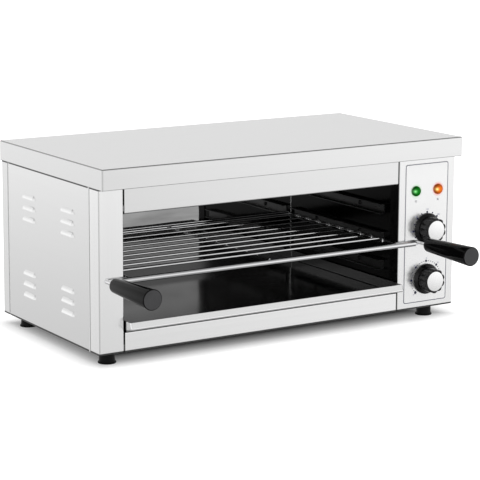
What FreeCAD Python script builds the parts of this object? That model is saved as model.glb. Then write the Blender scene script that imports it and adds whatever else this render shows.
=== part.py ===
"""Countertop electric salamander grill with a pull-out rack and a pull-out crumb tray.

Millimetres, +Z up, front towards -Y. Casing frame: x runs from the casing's left edge, y back from its
front face and z up from its underside. Rack, shelf channels, elements and tray are drawn about the middle
of the cavity, and knobs, lamps, grips, feet and the gland about their own axes.
"""
import FreeCAD, Part
import math
import os
import re
import Sketcher

Vector = FreeCAD.Vector

SIZES = {
    # Casing
    "body_width": 606,
    "body_depth": 301,
    "carcass_height": 257,
    "gauge": 1,
    "bend_radius": 0.8,
    "post_width": 38,
    "control_width": 104,
    "wrap_depth": 27,
    "return_depth": 20,
    "rear_wrap": 20,
    "seam_gap": 1.4,
    "front_seam": 1,
    "panel_gap": 0.5,
    "sheet_gap": 0.3,
    "edge_flange": 10,
    "fascia_height": 65,
    "fascia_return": 15,
    "rail_height": 28,
    "rail_return": 14,
    "pan_flange": 10,
    "notch_room": 1,
    # Hood
    "hood_skirt": 29,
    "hood_side": 2,
    "hood_front": 15,
    "hood_rear": 2,
    "hood_hem": 13,
    "hood_corner": 2,
    # Louvres of a side panel
    "louvre_length": 38,
    "louvre_height": 7,
    "louvre_depth": 3.5,
    "louvre_pitch": 16.2,
    "louvre_rows": 3,
    "louvre_columns_apart": 120,
    "louvre_groups_apart": 112,
    "louvre_middle": 115,
    # Cavity
    "back_space": 13,
    "roof_space": 31,
    "liner_flange": 8,
    "reflector_drop": 26,
    "reflector_slope": 12,
    # Heating elements
    "element_diameter": 8,
    "element_drop": 20,
    "element_first": 60,
    "element_legs_apart": 50,
    "element_rear_room": 68,
    "element_bend": 20,
    "element_end_room": 24,
    "element_tail": 22,
    "element_fit": 0.2,
    "ferrule_wall": 3,
    "ferrule_length": 6,
    "hanger_gauge": 1.5,
    "hanger_margin": 8,
    "hangers_apart": 180,
    # Shelf channels and tray runners
    "channel_height": 15,
    "channel_depth": 10,
    "channel_start": 36,
    "channel_rear_room": 12,
    "channel_lowest": 57,
    "channel_pitch": 43,
    "channel_screw_inset": 62,
    "runner_height": 15,
    "runner_depth": 12,
    "runner_rear_room": 3,
    # Pan-head screws
    "screw_diameter": 4,
    "screw_length": 6,
    "screw_head_diameter": 6.6,
    "screw_head_height": 1.8,
    "screw_crown": 0.7,
    "screw_clearance": 0.2,
    # Rack
    "run_gap": 0.3,
    "weld_gap": 0.05,
    "rod_diameter": 5.5,
    "rod_inset": 6,
    "rod_stand": 4,
    "rod_bend": 6,
    "rod_rear_room": 1.75,
    "stud_outset": 35.5,
    "bar_diameter": 8,
    "bar_end_room": 6,
    "wire_diameter": 3.5,
    "wire_first": 26,
    "wire_last_gap": 1,
    "wire_count": 10,
    "wire_leg": 6,
    "grip_stand": 32,
    "grip_length": 102,
    "grip_root": 20.5,
    "grip_tip": 28.5,
    "grip_root_round": 5,
    "grip_tip_bevel": 1.2,
    "stud_depth": 38,
    "stud_fit": 0.1,
    # Crumb tray
    "tray_lift": 0.5,
    "tray_side_gap": 1.5,
    "tray_depth": 15.5,
    "tray_rear_room": 9,
    "tray_rise": 5.5,
    "tray_rise_start": 2,
    "tray_nose": 19.5,
    "tray_lean": 4,
    "tray_round": 2.4,
    # Control panel
    "label_gauge": 0.3,
    "label_left": 11.8,
    "label_right": 12,
    "label_bottom": 9,
    "label_head_room": 36.5,
    "label_corner": 4,
    "knob_inset": 50.5,
    "thermostat_level": 121.4,
    "timer_level": 44,
    "lamp_drop": 41,
    "lamps_apart": 41,
    "lamps_offset": 1.1,
    "lens_diameter": 15.3,
    "lens_height": 5.5,
    "lens_rim": 1.6,
    "lamp_barrel": 11.6,
    "lamp_hole_room": 0.2,
    "lamp_collar": 15,
    "lamp_collar_depth": 3,
    "lamp_depth": 24,
    # Knobs
    "knob_gap": 0.8,
    "skirt_diameter": 46,
    "skirt_edge": 1.6,
    "skirt_height": 5.2,
    "skirt_top": 39.5,
    "knob_grip": 37,
    "knob_height": 21.8,
    "knob_bevel": 1.2,
    "flute_diameter": 3.8,
    "flute_offset": 0.6,
    "flute_count": 10,
    "flute_foot": 1.2,
    "cap_diameter": 31,
    "cap_seat": 1.2,
    "cap_height": 2,
    "cap_bevel": 0.6,
    "cap_fit": 0.15,
    "shaft_diameter": 6,
    "shaft_flat": 1.5,
    "shaft_fit": 0.15,
    "shaft_grip": 14,
    "shaft_depth": 12,
    "bushing_diameter": 9.6,
    "bushing_fit": 0.2,
    "thermostat_width": 45,
    "thermostat_depth": 45,
    "timer_width": 50,
    "timer_depth": 55,
    "control_round": 2.5,
    # Thermostat sensor
    "bulb_diameter": 6,
    "bulb_length": 90,
    "bulb_inset": 30,
    "bulb_depth": 36,
    "bulb_drop": 23,
    "capillary_diameter": 2,
    "capillary_bend": 10,
    "capillary_offset": 10,
    "capillary_fit": 0.3,
    "clip_wall": 1,
    "clip_width": 8,
    "clip_margin": 15,
    "clip_fit": 0.15,
    # Terminal block and cable gland
    "block_width": 48,
    "block_height": 22,
    "block_depth": 18,
    "block_level": 90,
    "block_poles": 3,
    "block_pole_pitch": 14,
    "block_pole_diameter": 8,
    "block_pole_depth": 6,
    "gland_inset": 46,
    "gland_level": 45,
    "gland_flats": 22,
    "gland_flange": 5,
    "gland_dome": 9,
    "gland_dome_end": 14,
    "gland_dome_bevel": 1.5,
    "gland_thread": 15.6,
    "gland_thread_length": 9,
    "gland_bore": 8,
    "gland_fit": 0.2,
    "gland_nut": 4,
    # Feet
    "foot_height": 16,
    "foot_inset_left": 22,
    "foot_inset_right": 38,
    "foot_inset_front": 20,
    "foot_inset_rear": 37,
    "foot_base": 25.5,
    "foot_base_height": 2,
    "foot_base_bevel": 0.6,
    "foot_lower": 22.5,
    "foot_upper": 21.5,
    "foot_recess": 9.6,
    "foot_recess_depth": 9,
    "foot_screw": 5,
    "foot_screw_fit": 0.2,
    "foot_screw_head": 8.6,
    "foot_screw_head_height": 3,
    "foot_screw_spare": 1.5,
    "foot_nut_flats": 8,
    "foot_nut_height": 4,
    # Casing screws
    "hood_screws_apart": 243,
    "hood_screw_count": 3,
    "hood_screw_drop": 15,
    "pan_screw_level": 6,
}

DERIVED = {
    "grip_reach": "grip_stand + grip_length",
    "gland_reach": "gland_flange + gland_dome",
    "front_y": "(grip_reach - body_depth - gland_reach) / 2",
    "leftmost": "cavity_middle - stud_spread - grip_tip / 2",
    "middle_x": "(body_width + max(hood_side; louvre_depth) + leftmost) / 2",
    "open_right": "body_width - control_width",
    "wall_left": "post_width - gauge - panel_gap",
    "wall_right": "open_right + gauge + panel_gap",
    "cavity_middle": "(wall_left + wall_right) / 2",
    "cavity_half": "(wall_right - wall_left) / 2",
    "wall_back": "body_depth - back_space",
    "liner_top": "carcass_height - roof_space",
    "notch_height": "gauge + pan_flange + notch_room",
    "pan_inside": "2 * gauge + sheet_gap",
    "liner_front": "pan_inside + sheet_gap",
    "reflector_front": "return_depth + gauge",
    "louvre_radius": "(louvre_height ^ 2 + louvre_depth ^ 2) / (2 * louvre_depth)",
    "reflector_top": "liner_top - gauge",
    "element_level": "liner_top - element_drop",
    "element_pitch": "wall_back - element_first - element_rear_room - element_legs_apart",
    "channel_length": "wall_back - channel_rear_room - channel_start",
    "channel_screw_first": "channel_start + channel_screw_inset",
    "channel_screws_apart": "channel_length - 2 * channel_screw_inset",
    "channel_floor": "channel_lowest + channel_pitch + gauge",
    "rod_radius": "rod_diameter / 2",
    "rod_level": "channel_floor + run_gap + rod_radius",
    "rod_side": "cavity_half - rod_inset",
    "stud_spread": "rod_side + stud_outset",
    "rod_back": "wall_back - rod_rear_room",
    "bar_radius": "bar_diameter / 2",
    "bar_level": "rod_level + rod_radius - bar_radius",
    "bar_back": "rod_stand + sqrt((rod_radius + bar_radius + weld_gap) ^ 2 - (bar_radius - rod_radius) ^ 2)",
    "wire_radius": "wire_diameter / 2",
    "wire_level": "rod_level + rod_radius + wire_radius",
    "wire_end": "rod_side - rod_radius - wire_radius - weld_gap",
    "wire_last": "rod_back - rod_diameter - wire_last_gap - wire_radius",
    "wire_pitch": "(wire_last - wire_first) / (wire_count - 1)",
    "tray_floor": "rail_height + tray_lift",
    "tray_left": "post_width + tray_side_gap",
    "tray_right": "open_right - tray_side_gap",
    "tray_back": "wall_back - tray_rear_room",
    "tray_top": "tray_floor + tray_depth",
    "runner_top": "tray_floor - run_gap",
    "label_top": "carcass_height - label_head_room",
    "lamp_level": "label_top - lamp_drop",
    "hood_screw_level": "carcass_height + gauge - hood_screw_drop",
    "knob_across": "body_width - knob_inset",
    "lamp_left": "knob_across - lamps_apart / 2 - lamps_offset",
    "lamp_right": "knob_across + lamps_apart / 2 - lamps_offset",
    "lamp_hole": "lamp_barrel + 2 * lamp_hole_room",
    "bushing_hole": "bushing_diameter + 2 * bushing_fit",
    "bulb_level": "liner_top - bulb_drop",
    "bulb_right": "wall_right - bulb_inset",
    "gland_across": "body_width - gland_inset",
    "screw_hole": "screw_diameter + 2 * screw_clearance",
}

SIDES = (("left", "-"), ("right", ""))
TIERS = ("lower", "middle", "upper")
ORIGIN_NORMALS = {"XY": 1, "XZ": -1, "YZ": 1}

doc = FreeCAD.newDocument("Salamander")
sheet = doc.addObject("Spreadsheet::Sheet", "Dims")
for row, (alias, number) in enumerate(SIZES.items(), start=1):
    sheet.set("A%d" % row, alias)
    sheet.set("B%d" % row, str(number))
    sheet.setAlias("B%d" % row, alias)
doc.recompute()


def bind(text):
    """Turn the words of a formula into references to the sheet's cells."""

    def cell(match):
        word = match.group()
        if word in SIZES:
            return "Dims." + word
        return "(" + bind(DERIVED[word]) + ")" if word in DERIVED else word

    return re.sub(r"[a-z][a-z_]*", cell, text)


def size(text):
    """Number that a formula gives with the sheet as it is."""
    return float(sheet.evalExpression(bind(text)))


def tie(thing, name, text):
    """Bind a property to a formula."""
    thing.setExpression(name, bind(text))


def body(label, x="0", y="0", z="0", group=False):
    """New sub-part whose own origin stands at a place in the casing frame."""
    part = doc.addObject("PartDesign::Body", label)
    part.Label = label
    part.AllowCompound = group
    tie(part, "Placement.Base.x", "%s - middle_x" % x)
    tie(part, "Placement.Base.y", "%s + front_y" % y)
    tie(part, "Placement.Base.z", "%s + foot_height" % z)
    return part


def origin_feature(part, role):
    return next(item for item in part.Origin.OriginFeatures if item.Role == role)


def sketch(part, plane, level="0", u="0", v="0"):
    """Sketch parallel to an origin plane, with its own origin at (u, v) on that plane."""
    flat = part.newObject("Sketcher::SketchObject", "Sketch")
    flat.AttachmentSupport = [(origin_feature(part, plane + "_Plane"), "")]
    flat.MapMode = "FlatFace"
    flat.Label = "%s_outline" % part.Label
    tie(flat, "AttachmentOffset.Base.x", u)
    tie(flat, "AttachmentOffset.Base.y", v)
    tie(flat, "AttachmentOffset.Base.z", "%d * (%s)" % (ORIGIN_NORMALS[plane], level))
    return flat


def hold(flat, constraint, text):
    """Add a driving constraint and bind it to a formula."""
    index = flat.addConstraint(constraint)
    name = "size%d" % index
    flat.renameConstraint(index, name)
    tie(flat, "Constraints." + name, text)


def pin(flat, item, point, u, v):
    """Fix a sketch point at (u, v) from the sketch's origin."""
    hold(flat, Sketcher.Constraint("DistanceX", -1, 1, item, point, size(u)), u)
    hold(flat, Sketcher.Constraint("DistanceY", -1, 1, item, point, size(v)), v)


def corner_round(spots, index, radius):
    """Both tangent points and the centre of the arc that rounds one corner."""
    here = spots[index]
    before = (spots[index - 1] - here).normalize()
    after = (spots[(index + 1) % len(spots)] - here).normalize()
    half = before.getAngle(after) / 2
    cut = radius / math.tan(half)
    centre = here + (before + after).normalize() * (radius / math.sin(half))
    return here + before * cut, here + after * cut, centre


def trace(flat, corners, closed=True):
    """Straight runs through corners (u, v) or (u, v, radius), with a tangent arc at each radius."""
    spots = [Vector(size(corner[0]), size(corner[1]), 0) for corner in corners]
    rounds = [corner_round(spots, i, size(c[2])) if len(c) > 2 else (spots[i], spots[i], None)
              for i, c in enumerate(corners)]
    count = len(corners)
    runs = count if closed else count - 1
    lines = []
    for i in range(runs):
        run = Part.LineSegment(rounds[i][1], rounds[(i + 1) % count][0])
        lines.append(flat.addGeometry(run, False))
    for i, corner in enumerate(corners):
        before = lines[i - 1] if closed or i > 0 else None
        after = lines[i] if i < runs else None
        stop, start, centre = rounds[i]
        if centre is None:
            if before is not None and after is not None:
                flat.addConstraint(Sketcher.Constraint("Coincident", before, 2, after, 1))
            pin(flat, before if after is None else after, 2 if after is None else 1, corner[0], corner[1])
            continue
        middle = centre + ((stop + start) * 0.5 - centre).normalize() * size(corner[2])
        arc = flat.addGeometry(Part.Arc(stop, middle, start), False)
        turned = (flat.getPoint(arc, 1) - stop).Length > (flat.getPoint(arc, 2) - stop).Length
        flat.addConstraint(Sketcher.Constraint("Tangent", before, 2, arc, 2 if turned else 1))
        flat.addConstraint(Sketcher.Constraint("Tangent", arc, 1 if turned else 2, after, 1))
        hold(flat, Sketcher.Constraint("Radius", arc, size(corner[2])), corner[2])
        tip = flat.addGeometry(Part.Point(spots[i]), True)
        flat.addConstraint(Sketcher.Constraint("PointOnObject", tip, 1, before))
        flat.addConstraint(Sketcher.Constraint("PointOnObject", tip, 1, after))
        pin(flat, tip, 1, corner[0], corner[1])
    return flat


def box_corners(left, low, right, high, radius=None):
    """Four corners of an upright rectangle, rounded when a radius is given."""
    corners = [(left, low), (right, low), (right, high), (left, high)]
    return [corner + (radius,) for corner in corners] if radius else corners


def strip_corners(path):
    """Outline of bent sheet whose outer face runs along a path of square turns, all one way."""
    spots = [Vector(size(u), size(v), 0) for u, v in path]
    ways = [(end - start).normalize() for start, end in zip(spots, spots[1:])]
    turn = 1 if ways[0].cross(ways[1]).z > 0 else -1
    inward = [Vector(-way.y, way.x, 0) * turn for way in ways]
    outer = [tuple(path[0])]
    inner = []
    for i, (u, v) in enumerate(path):
        beside = inward[max(i - 1, 0)]
        ahead = inward[min(i, len(inward) - 1)]
        shift = ahead if i in (0, len(path) - 1) else beside + ahead
        inner_spot = ("%s + %d * gauge" % (u, round(shift.x)), "%s + %d * gauge" % (v, round(shift.y)))
        bent = 0 < i < len(path) - 1
        inner.append(inner_spot + ("bend_radius",) if bent else inner_spot)
        if i > 0:
            outer.append((u, v, "bend_radius + gauge") if bent else (u, v))
    return outer + inner[::-1]


def circle(flat, u, v, diameter):
    round_line = Part.Circle(Vector(size(u), size(v), 0), Vector(0, 0, 1), size(diameter) / 2)
    ring = flat.addGeometry(round_line, False)
    pin(flat, ring, 3, u, v)
    hold(flat, Sketcher.Constraint("Diameter", ring, size(diameter)), diameter)
    return flat


def d_section(flat, diameter, cut):
    """Circle about the sketch's origin with a flat cut across its top."""
    radius = size(diameter) / 2
    level = radius - size(cut)
    start = math.asin(level / radius)
    whole = Part.Circle(Vector(0, 0, 0), Vector(0, 0, 1), radius)
    rim = Part.ArcOfCircle(whole, math.pi - start, start + 2 * math.pi)
    arc = flat.addGeometry(rim, False)
    half = radius * math.cos(start)
    chord = flat.addGeometry(Part.LineSegment(Vector(half, level, 0), Vector(-half, level, 0)), False)
    flat.addConstraint(Sketcher.Constraint("Coincident", arc, 3, -1, 1))
    flat.addConstraint(Sketcher.Constraint("Coincident", arc, 2, chord, 1))
    flat.addConstraint(Sketcher.Constraint("Coincident", chord, 2, arc, 1))
    flat.addConstraint(Sketcher.Constraint("Horizontal", chord))
    hold(flat, Sketcher.Constraint("Diameter", arc, 2 * radius), diameter)
    hold(flat, Sketcher.Constraint("DistanceY", -1, 1, chord, 1, level), "(%s) / 2 - (%s)" % (diameter, cut))
    return flat


def extrude(part, flat, length, kind="Pad", back=False):
    """Pad or pocket a sketch towards the positive axis, or towards the negative one when back is set."""
    feature = part.newObject("PartDesign::" + kind, kind)
    feature.Profile = flat
    tie(feature, "Length", length)
    plane = flat.AttachmentSupport[0][0].Role[:2]
    along = (ORIGIN_NORMALS[plane] > 0) != back
    feature.Reversed = along if kind == "Pocket" else not along
    return feature


def spin(part, flat, kind="Revolution", axis="H_Axis", angle="360", reverse=False):
    """Turn a sketch about one of its own axes, to add or to cut."""
    feature = part.newObject("PartDesign::" + kind, kind)
    feature.Profile = flat
    feature.ReferenceAxis = (flat, [axis])
    tie(feature, "Angle", angle)
    feature.Reversed = reverse
    return feature


def sweep(part, section, path):
    """Tube of a section along an open path."""
    doc.recompute()
    tube = part.newObject("PartDesign::AdditivePipe", "Pipe")
    tube.Profile = section
    tube.Spine = (path, ["Edge%d" % (i + 1) for i in range(len(path.Shape.Edges))])
    return tube


def row_of(part, axis, pitch, count, originals=None):
    """Linear pattern, as a feature of its own or as one step of a pattern in several directions."""
    if originals is None:
        pattern = doc.addObject("PartDesign::LinearPattern", "Row")
    else:
        pattern = part.newObject("PartDesign::LinearPattern", "Row")
        pattern.Originals = originals
    pattern.Direction = (origin_feature(part, axis + "_Axis"), [""])
    pattern.Mode = "Spacing"
    tie(pattern, "Offset", pitch)
    tie(pattern, "Occurrences", count)
    if originals is not None:
        part.Tip = pattern
    return pattern


def grid_of(part, originals, steps):
    """Pattern in several directions, given as (axis, pitch, count) steps."""
    grid = part.newObject("PartDesign::MultiTransform", "Grid")
    grid.Originals = originals
    grid.Transformations = [row_of(part, *step) for step in steps]
    for step in grid.Transformations:
        part.Group = part.Group + [step]
    part.Tip = grid
    return grid


def round_edges(part, radius, chosen):
    """Fillet the edges of the sub-part so far that a test picks."""
    doc.recompute()
    base = part.Tip
    names = ["Edge%d" % number for number, edge in enumerate(base.Shape.Edges, 1) if chosen(edge)]
    fillet = part.newObject("PartDesign::Fillet", "Fillet")
    fillet.Base = (base, names)
    tie(fillet, "Radius", radius)
    return fillet


def hollow_out(part, open_level):
    """Shell the sub-part to sheet, open at its face on one level."""
    doc.recompute()
    base = part.Tip
    faces = ["Face%d" % number for number, face in enumerate(base.Shape.Faces, 1)
             if at_level(face, Z_AXIS, open_level)]
    shell = part.newObject("PartDesign::Thickness", "Shell")
    shell.Base = (base, faces)
    shell.Reversed = True
    tie(shell, "Value", "gauge")


def runs_along(edge, axis):
    """True for a straight edge parallel to the given axis."""
    straight = edge.Curve.TypeId == "Part::GeomLine"
    return straight and abs(edge.tangentAt(edge.FirstParameter).dot(axis)) > 0.999


def at_level(item, axis, text):
    """True when the middle of an edge or face lies at a level along the given axis."""
    return abs(item.CenterOfMass.dot(axis) - size(text)) < 0.001


X_AXIS = Vector(1, 0, 0)
Y_AXIS = Vector(0, 1, 0)
Z_AXIS = Vector(0, 0, 1)


def front_pillar(label, inner, side):
    """Folded front sheet: a wrap round the casing's side, the face, and a return into the cavity."""
    part = body(label)
    toward = "+" if side == "0" else "-"
    path = [(side, "wrap_depth"), (side, "0"), (inner, "0"), (inner, "return_depth")]
    extrude(part, trace(sketch(part, "XY"), strip_corners(path)), "carcass_height")
    inner_face = "%s %s -1 * (gauge + bend_radius)" % (inner, toward)
    past_edge = "%s %s gauge" % (inner, toward)
    notch = box_corners(inner_face, "gauge", past_edge, "return_depth + gauge")
    extrude(part, trace(sketch(part, "XY"), notch), "notch_height", "Pocket")
    return part


def control_front():
    """Right-hand front sheet, pierced for both control shafts and both lamps."""
    part = front_pillar("control_front", "open_right", "body_width")
    holes = sketch(part, "XZ")
    control_holes(holes)
    extrude(part, holes, "gauge", "Pocket")
    return part


def control_holes(flat):
    circle(flat, "knob_across", "thermostat_level", "bushing_hole")
    circle(flat, "knob_across", "timer_level", "bushing_hole")
    circle(flat, "lamp_left", "lamp_level", "lamp_hole")
    circle(flat, "lamp_right", "lamp_level", "lamp_hole")


def front_fascia():
    """Lintel over the cavity, returned inwards along its top and bottom."""
    part = body("front_fascia")
    low = "carcass_height - fascia_height"
    high = "carcass_height"
    path = [("fascia_return", low), ("0", low), ("0", high), ("fascia_return", high)]
    flat = trace(sketch(part, "YZ", "post_width + front_seam"), strip_corners(path))
    extrude(part, flat, "open_right - post_width - 2 * front_seam")
    return part


def bottom_rail():
    """Sill under the crumb tray, returned inwards along its top."""
    part = body("bottom_rail")
    path = [("rail_return", "rail_height"), ("0", "rail_height"), ("0", "0")]
    flat = trace(sketch(part, "YZ", "post_width + front_seam"), strip_corners(path))
    extrude(part, flat, "open_right - post_width - 2 * front_seam")
    return part


def louvre_profile(part, ends, depth, low):
    """Half outline of a louvre in the level of its mouth, drawn from the axis that it is turned about."""
    column = "body_depth / 2 - louvre_columns_apart / 2"
    flat = sketch(part, "XY", low, "louvre_radius - louvre_depth", column)
    root = "gauge - louvre_radius + louvre_depth"
    half = "louvre_length / 2 - (%s)" % ends
    face = "-louvre_radius + (%s)" % ends
    inner = "%s - (%s)" % (half, depth)
    return trace(flat, [(root, "-(%s)" % half), (face, "-(%s)" % inner), (face, inner), (root, half)])


def left_side_panel():
    """Side sheet with folded edges and four groups of pressed louvres that open downwards."""
    part = body("left_side_panel")
    start = "wrap_depth + seam_gap"
    stop = "body_depth - rear_wrap - seam_gap"
    path = [("edge_flange", start), ("0", start), ("0", stop), ("edge_flange", stop)]
    extrude(part, trace(sketch(part, "XY"), strip_corners(path)), "carcass_height")
    notch = box_corners("gauge", start, "edge_flange + gauge", stop)
    extrude(part, trace(sketch(part, "XY"), notch), "notch_height", "Pocket")
    lowest = "louvre_middle - louvre_groups_apart / 2 - louvre_pitch * (louvre_rows - 1) / 2"
    low = lowest + " - louvre_height / 2"
    swing = "acos((louvre_radius - louvre_depth) / louvre_radius)"
    raised = spin(part, louvre_profile(part, "0", "louvre_depth", low), "Revolution", "V_Axis", swing)
    mouth = louvre_profile(part, "gauge", "louvre_depth - gauge / 2", low)
    hollow = spin(part, mouth, "Groove", "V_Axis", swing)
    steps = [("Z", "louvre_pitch", "louvre_rows"), ("Z", "louvre_groups_apart", "2"),
             ("Y", "louvre_columns_apart", "2")]
    grid_of(part, [raised, hollow], steps)
    return part


def mirrored(label, source, middle):
    """Opposite-hand copy of a sub-part, across a plane square to x."""
    twin = doc.addObject("Part::Mirroring", label)
    twin.Label = label
    twin.Source = source
    twin.Normal = X_AXIS
    tie(twin, "Base.x", middle)
    return twin


def rear_panel():
    """Back sheet folded round both sides, with the hole for the cable gland."""
    part = body("rear_panel")
    fold = "body_depth - rear_wrap"
    path = [("0", fold), ("0", "body_depth"), ("body_width", "body_depth"), ("body_width", fold)]
    extrude(part, trace(sketch(part, "XY"), strip_corners(path)), "carcass_height")
    hole = "gland_thread + 2 * gland_fit"
    holes = circle(sketch(part, "XZ", "body_depth"), "gland_across", "gland_level", hole)
    for level in ("hood_screw_level", "pan_screw_level"):
        screw_row_holes(holes, level)
    extrude(part, holes, "2 * gauge", "Pocket", back=True)
    return part


def screw_row_holes(flat, level):
    for step in range(-1, 2):
        circle(flat, "body_width / 2 + %d * hood_screws_apart" % step, level, "screw_hole")


def foot_places():
    """Centres of the four feet, with their names."""
    for side, x in (("left", "foot_inset_left"), ("right", "body_width - foot_inset_right")):
        for end, y in (("front", "foot_inset_front"), ("rear", "body_depth - foot_inset_rear")):
            yield "foot_%s_%s" % (end, side), x, y


def base_pan():
    """Floor of the casing with upturned edges, inside the outer sheets."""
    part = body("base_pan")
    edge = "gauge + sheet_gap"
    corners = box_corners(edge, edge, "body_width - (%s)" % edge, "body_depth - (%s)" % edge,
                          "bend_radius + gauge")
    extrude(part, trace(sketch(part, "XY"), corners), "pan_flange + gauge")
    hollow = box_corners("pan_inside", "pan_inside", "body_width - pan_inside", "body_depth - pan_inside",
                         "bend_radius")
    extrude(part, trace(sketch(part, "XY", "gauge"), hollow), "pan_flange", "Pocket")
    holes = sketch(part, "XY")
    for _, x, y in foot_places():
        circle(holes, x, y, "foot_screw + 2 * foot_screw_fit")
    extrude(part, holes, "gauge", "Pocket")
    rows = sketch(part, "XZ", "body_depth")
    screw_row_holes(rows, "pan_screw_level")
    extrude(part, rows, "back_space", "Pocket", back=True)
    return part


def hood_cover():
    """Drawn lid with rounded corners, open below, with a hem turned back under its front."""
    part = body("hood_cover")
    left = "-hood_side"
    right = "body_width + hood_side"
    front = "-hood_front"
    low = "carcass_height + gauge - hood_skirt"
    outer = box_corners(left, front, right, "body_depth + hood_rear", "hood_corner")
    extrude(part, trace(sketch(part, "XY", low), outer), "hood_skirt")
    round_edges(part, "hood_corner", lambda edge: at_level(edge, Z_AXIS, "carcass_height + gauge"))
    hollow_out(part, low)
    hem = box_corners("%s + gauge" % left, "%s + gauge" % front, "%s - gauge" % right,
                      "%s + gauge + hood_hem" % front)
    extrude(part, trace(sketch(part, "XY", low), hem), "gauge")
    rows = sketch(part, "XZ", "body_depth + hood_rear")
    screw_row_holes(rows, "hood_screw_level")
    extrude(part, rows, "gauge", "Pocket", back=True)
    return part


def channel_screw_places():
    """Depths of the two screws of a shelf channel."""
    return "channel_screw_first", "channel_screw_first + channel_screws_apart"


def cavity_wall(side, sign):
    """Liner sheet of one side of the cavity, with flanges turned away from it."""
    part = body("cavity_wall_" + side, "cavity_middle")
    face = sign + "cavity_half"
    edge = sign + "(cavity_half + gauge + liner_flange)"
    path = [(edge, "gauge"), (face, "gauge"), (face, "liner_top"), (edge, "liner_top")]
    flat = trace(sketch(part, "XZ", "liner_front"), strip_corners(path))
    extrude(part, flat, "wall_back - liner_front")
    holes = sketch(part, "YZ", sign + "(cavity_half + 2 * gauge)")
    for y in channel_screw_places():
        for tier in range(len(TIERS)):
            level = "channel_lowest + %d * channel_pitch + channel_height / 2" % tier
            circle(holes, y, level, "screw_hole")
    if side == "right":
        for y in element_legs():
            circle(holes, y, "element_level", "element_diameter + 2 * element_fit")
        circle(holes, "bulb_depth", "bulb_level", "capillary_diameter + 2 * capillary_fit")
    extrude(part, holes, "3 * gauge", "Pocket", back=side == "right")
    return part


def element_legs():
    """Depths of the four straight legs of both elements."""
    for element in range(2):
        for leg in range(2):
            yield "element_first + %d * element_pitch + %d * element_legs_apart" % (element, leg)


def cavity_back():
    """Liner sheet across the back of the cavity."""
    part = body("cavity_back", "cavity_middle")
    edge = "wall_back + gauge + liner_flange"
    path = [(edge, "gauge"), ("wall_back", "gauge"), ("wall_back", "liner_top"), (edge, "liner_top")]
    flat = trace(sketch(part, "YZ", "-(cavity_half + gauge)"), strip_corners(path))
    extrude(part, flat, "2 * (cavity_half + gauge)")
    return part


def heat_reflector():
    """Shallow trough over the elements, with sloped edges at front and back."""
    part = body("heat_reflector", "cavity_middle")
    low = "liner_top - reflector_drop"
    front = "reflector_front"
    back = "wall_back - sheet_gap"
    slant = "reflector_slope"
    crown = "reflector_top"
    lean = "gauge * sqrt(1 + (reflector_slope / reflector_drop) ^ 2)"
    inner = slant + " + gauge * (1 - gauge / reflector_drop)"
    corners = [(front, low), ("%s + %s" % (front, slant), crown), ("%s - %s" % (back, slant), crown),
               (back, low), ("%s - %s" % (back, lean), low),
               ("%s - (%s)" % (back, inner), "%s - gauge" % crown),
               ("%s + %s" % (front, inner), "%s - gauge" % crown), ("%s + %s" % (front, lean), low)]
    flat = trace(sketch(part, "YZ", "-(cavity_half - sheet_gap)"), corners)
    extrude(part, flat, "2 * (cavity_half - sheet_gap)")
    return part


def heating_element(name, number):
    """Hairpin tube whose two ends pass through the right-hand liner wall."""
    part = body("heating_element_" + name, "cavity_middle")
    near = "element_first + %d * element_pitch" % number
    far = near + " + element_legs_apart"
    tail = "cavity_half + element_tail"
    bend = "-(cavity_half - element_end_room)"
    turns = [(tail, near), (bend, near, "element_bend"), (bend, far, "element_bend"), (tail, far)]
    path = trace(sketch(part, "XY", "element_level"), turns, False)
    section = circle(sketch(part, "YZ", tail), near, "element_level", "element_diameter")
    sweep(part, section, path)
    return part


def element_ferrules():
    """Collars that hold the element legs on the control side of the liner wall."""
    part = body("element_ferrules", "cavity_middle", group=True)
    flat = sketch(part, "YZ", "cavity_half + gauge")
    for y in element_legs():
        circle(flat, y, "element_level", "element_diameter + 2 * ferrule_wall")
        circle(flat, y, "element_level", "element_diameter + 2 * element_fit")
    extrude(part, flat, "ferrule_length")
    return part


def element_hangers():
    """Two plates under the reflector that the element legs pass through."""
    part = body("element_hangers", "cavity_middle", group=True)
    flat = sketch(part, "YZ", "-(hangers_apart + hanger_gauge) / 2")
    low = "element_level - element_diameter / 2 - hanger_margin"
    start = "element_first - element_diameter / 2 - hanger_margin"
    stop = "element_first + element_pitch + element_legs_apart + element_diameter / 2 + hanger_margin"
    trace(flat, box_corners(start, low, stop, "reflector_top - gauge"))
    for y in element_legs():
        circle(flat, y, "element_level", "element_diameter + 2 * element_fit")
    plate = extrude(part, flat, "hanger_gauge")
    row_of(part, "X", "hangers_apart", "2", [plate])
    return part


def shelf_channel(side, sign, tier, name):
    """Folded channel screwed to a cavity wall, open towards the cavity."""
    part = body("channel_%s_%s" % (side, name), "cavity_middle")
    low = "channel_lowest + %d * channel_pitch" % tier
    high = low + " + channel_height"
    wall = sign + "cavity_half"
    lip = sign + "(cavity_half - channel_depth)"
    corners = strip_corners([(lip, low), (wall, low), (wall, high), (lip, high)])
    flat = trace(sketch(part, "XZ", "channel_start"), corners)
    extrude(part, flat, "channel_length")
    holes = sketch(part, "YZ", sign + "cavity_half")
    for y in channel_screw_places():
        circle(holes, y, low + " + channel_height / 2", "screw_hole")
    extrude(part, holes, "gauge", "Pocket", back=side == "right")
    return part


def screw_outline(flat, head, tip):
    """Half section of a pan-head screw along a sketch's own axis, from the seat of its head to its tip."""
    away = "+" if size(head) > size(tip) else "-"
    crown = "%s %s screw_head_height" % (head, away)
    radius = "screw_head_diameter / 2"
    return trace(flat, [(crown, "0"), (crown, radius + " * screw_crown"), (head, radius),
                        (head, "screw_diameter / 2"), (tip, "screw_diameter / 2"), (tip, "0")])


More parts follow.
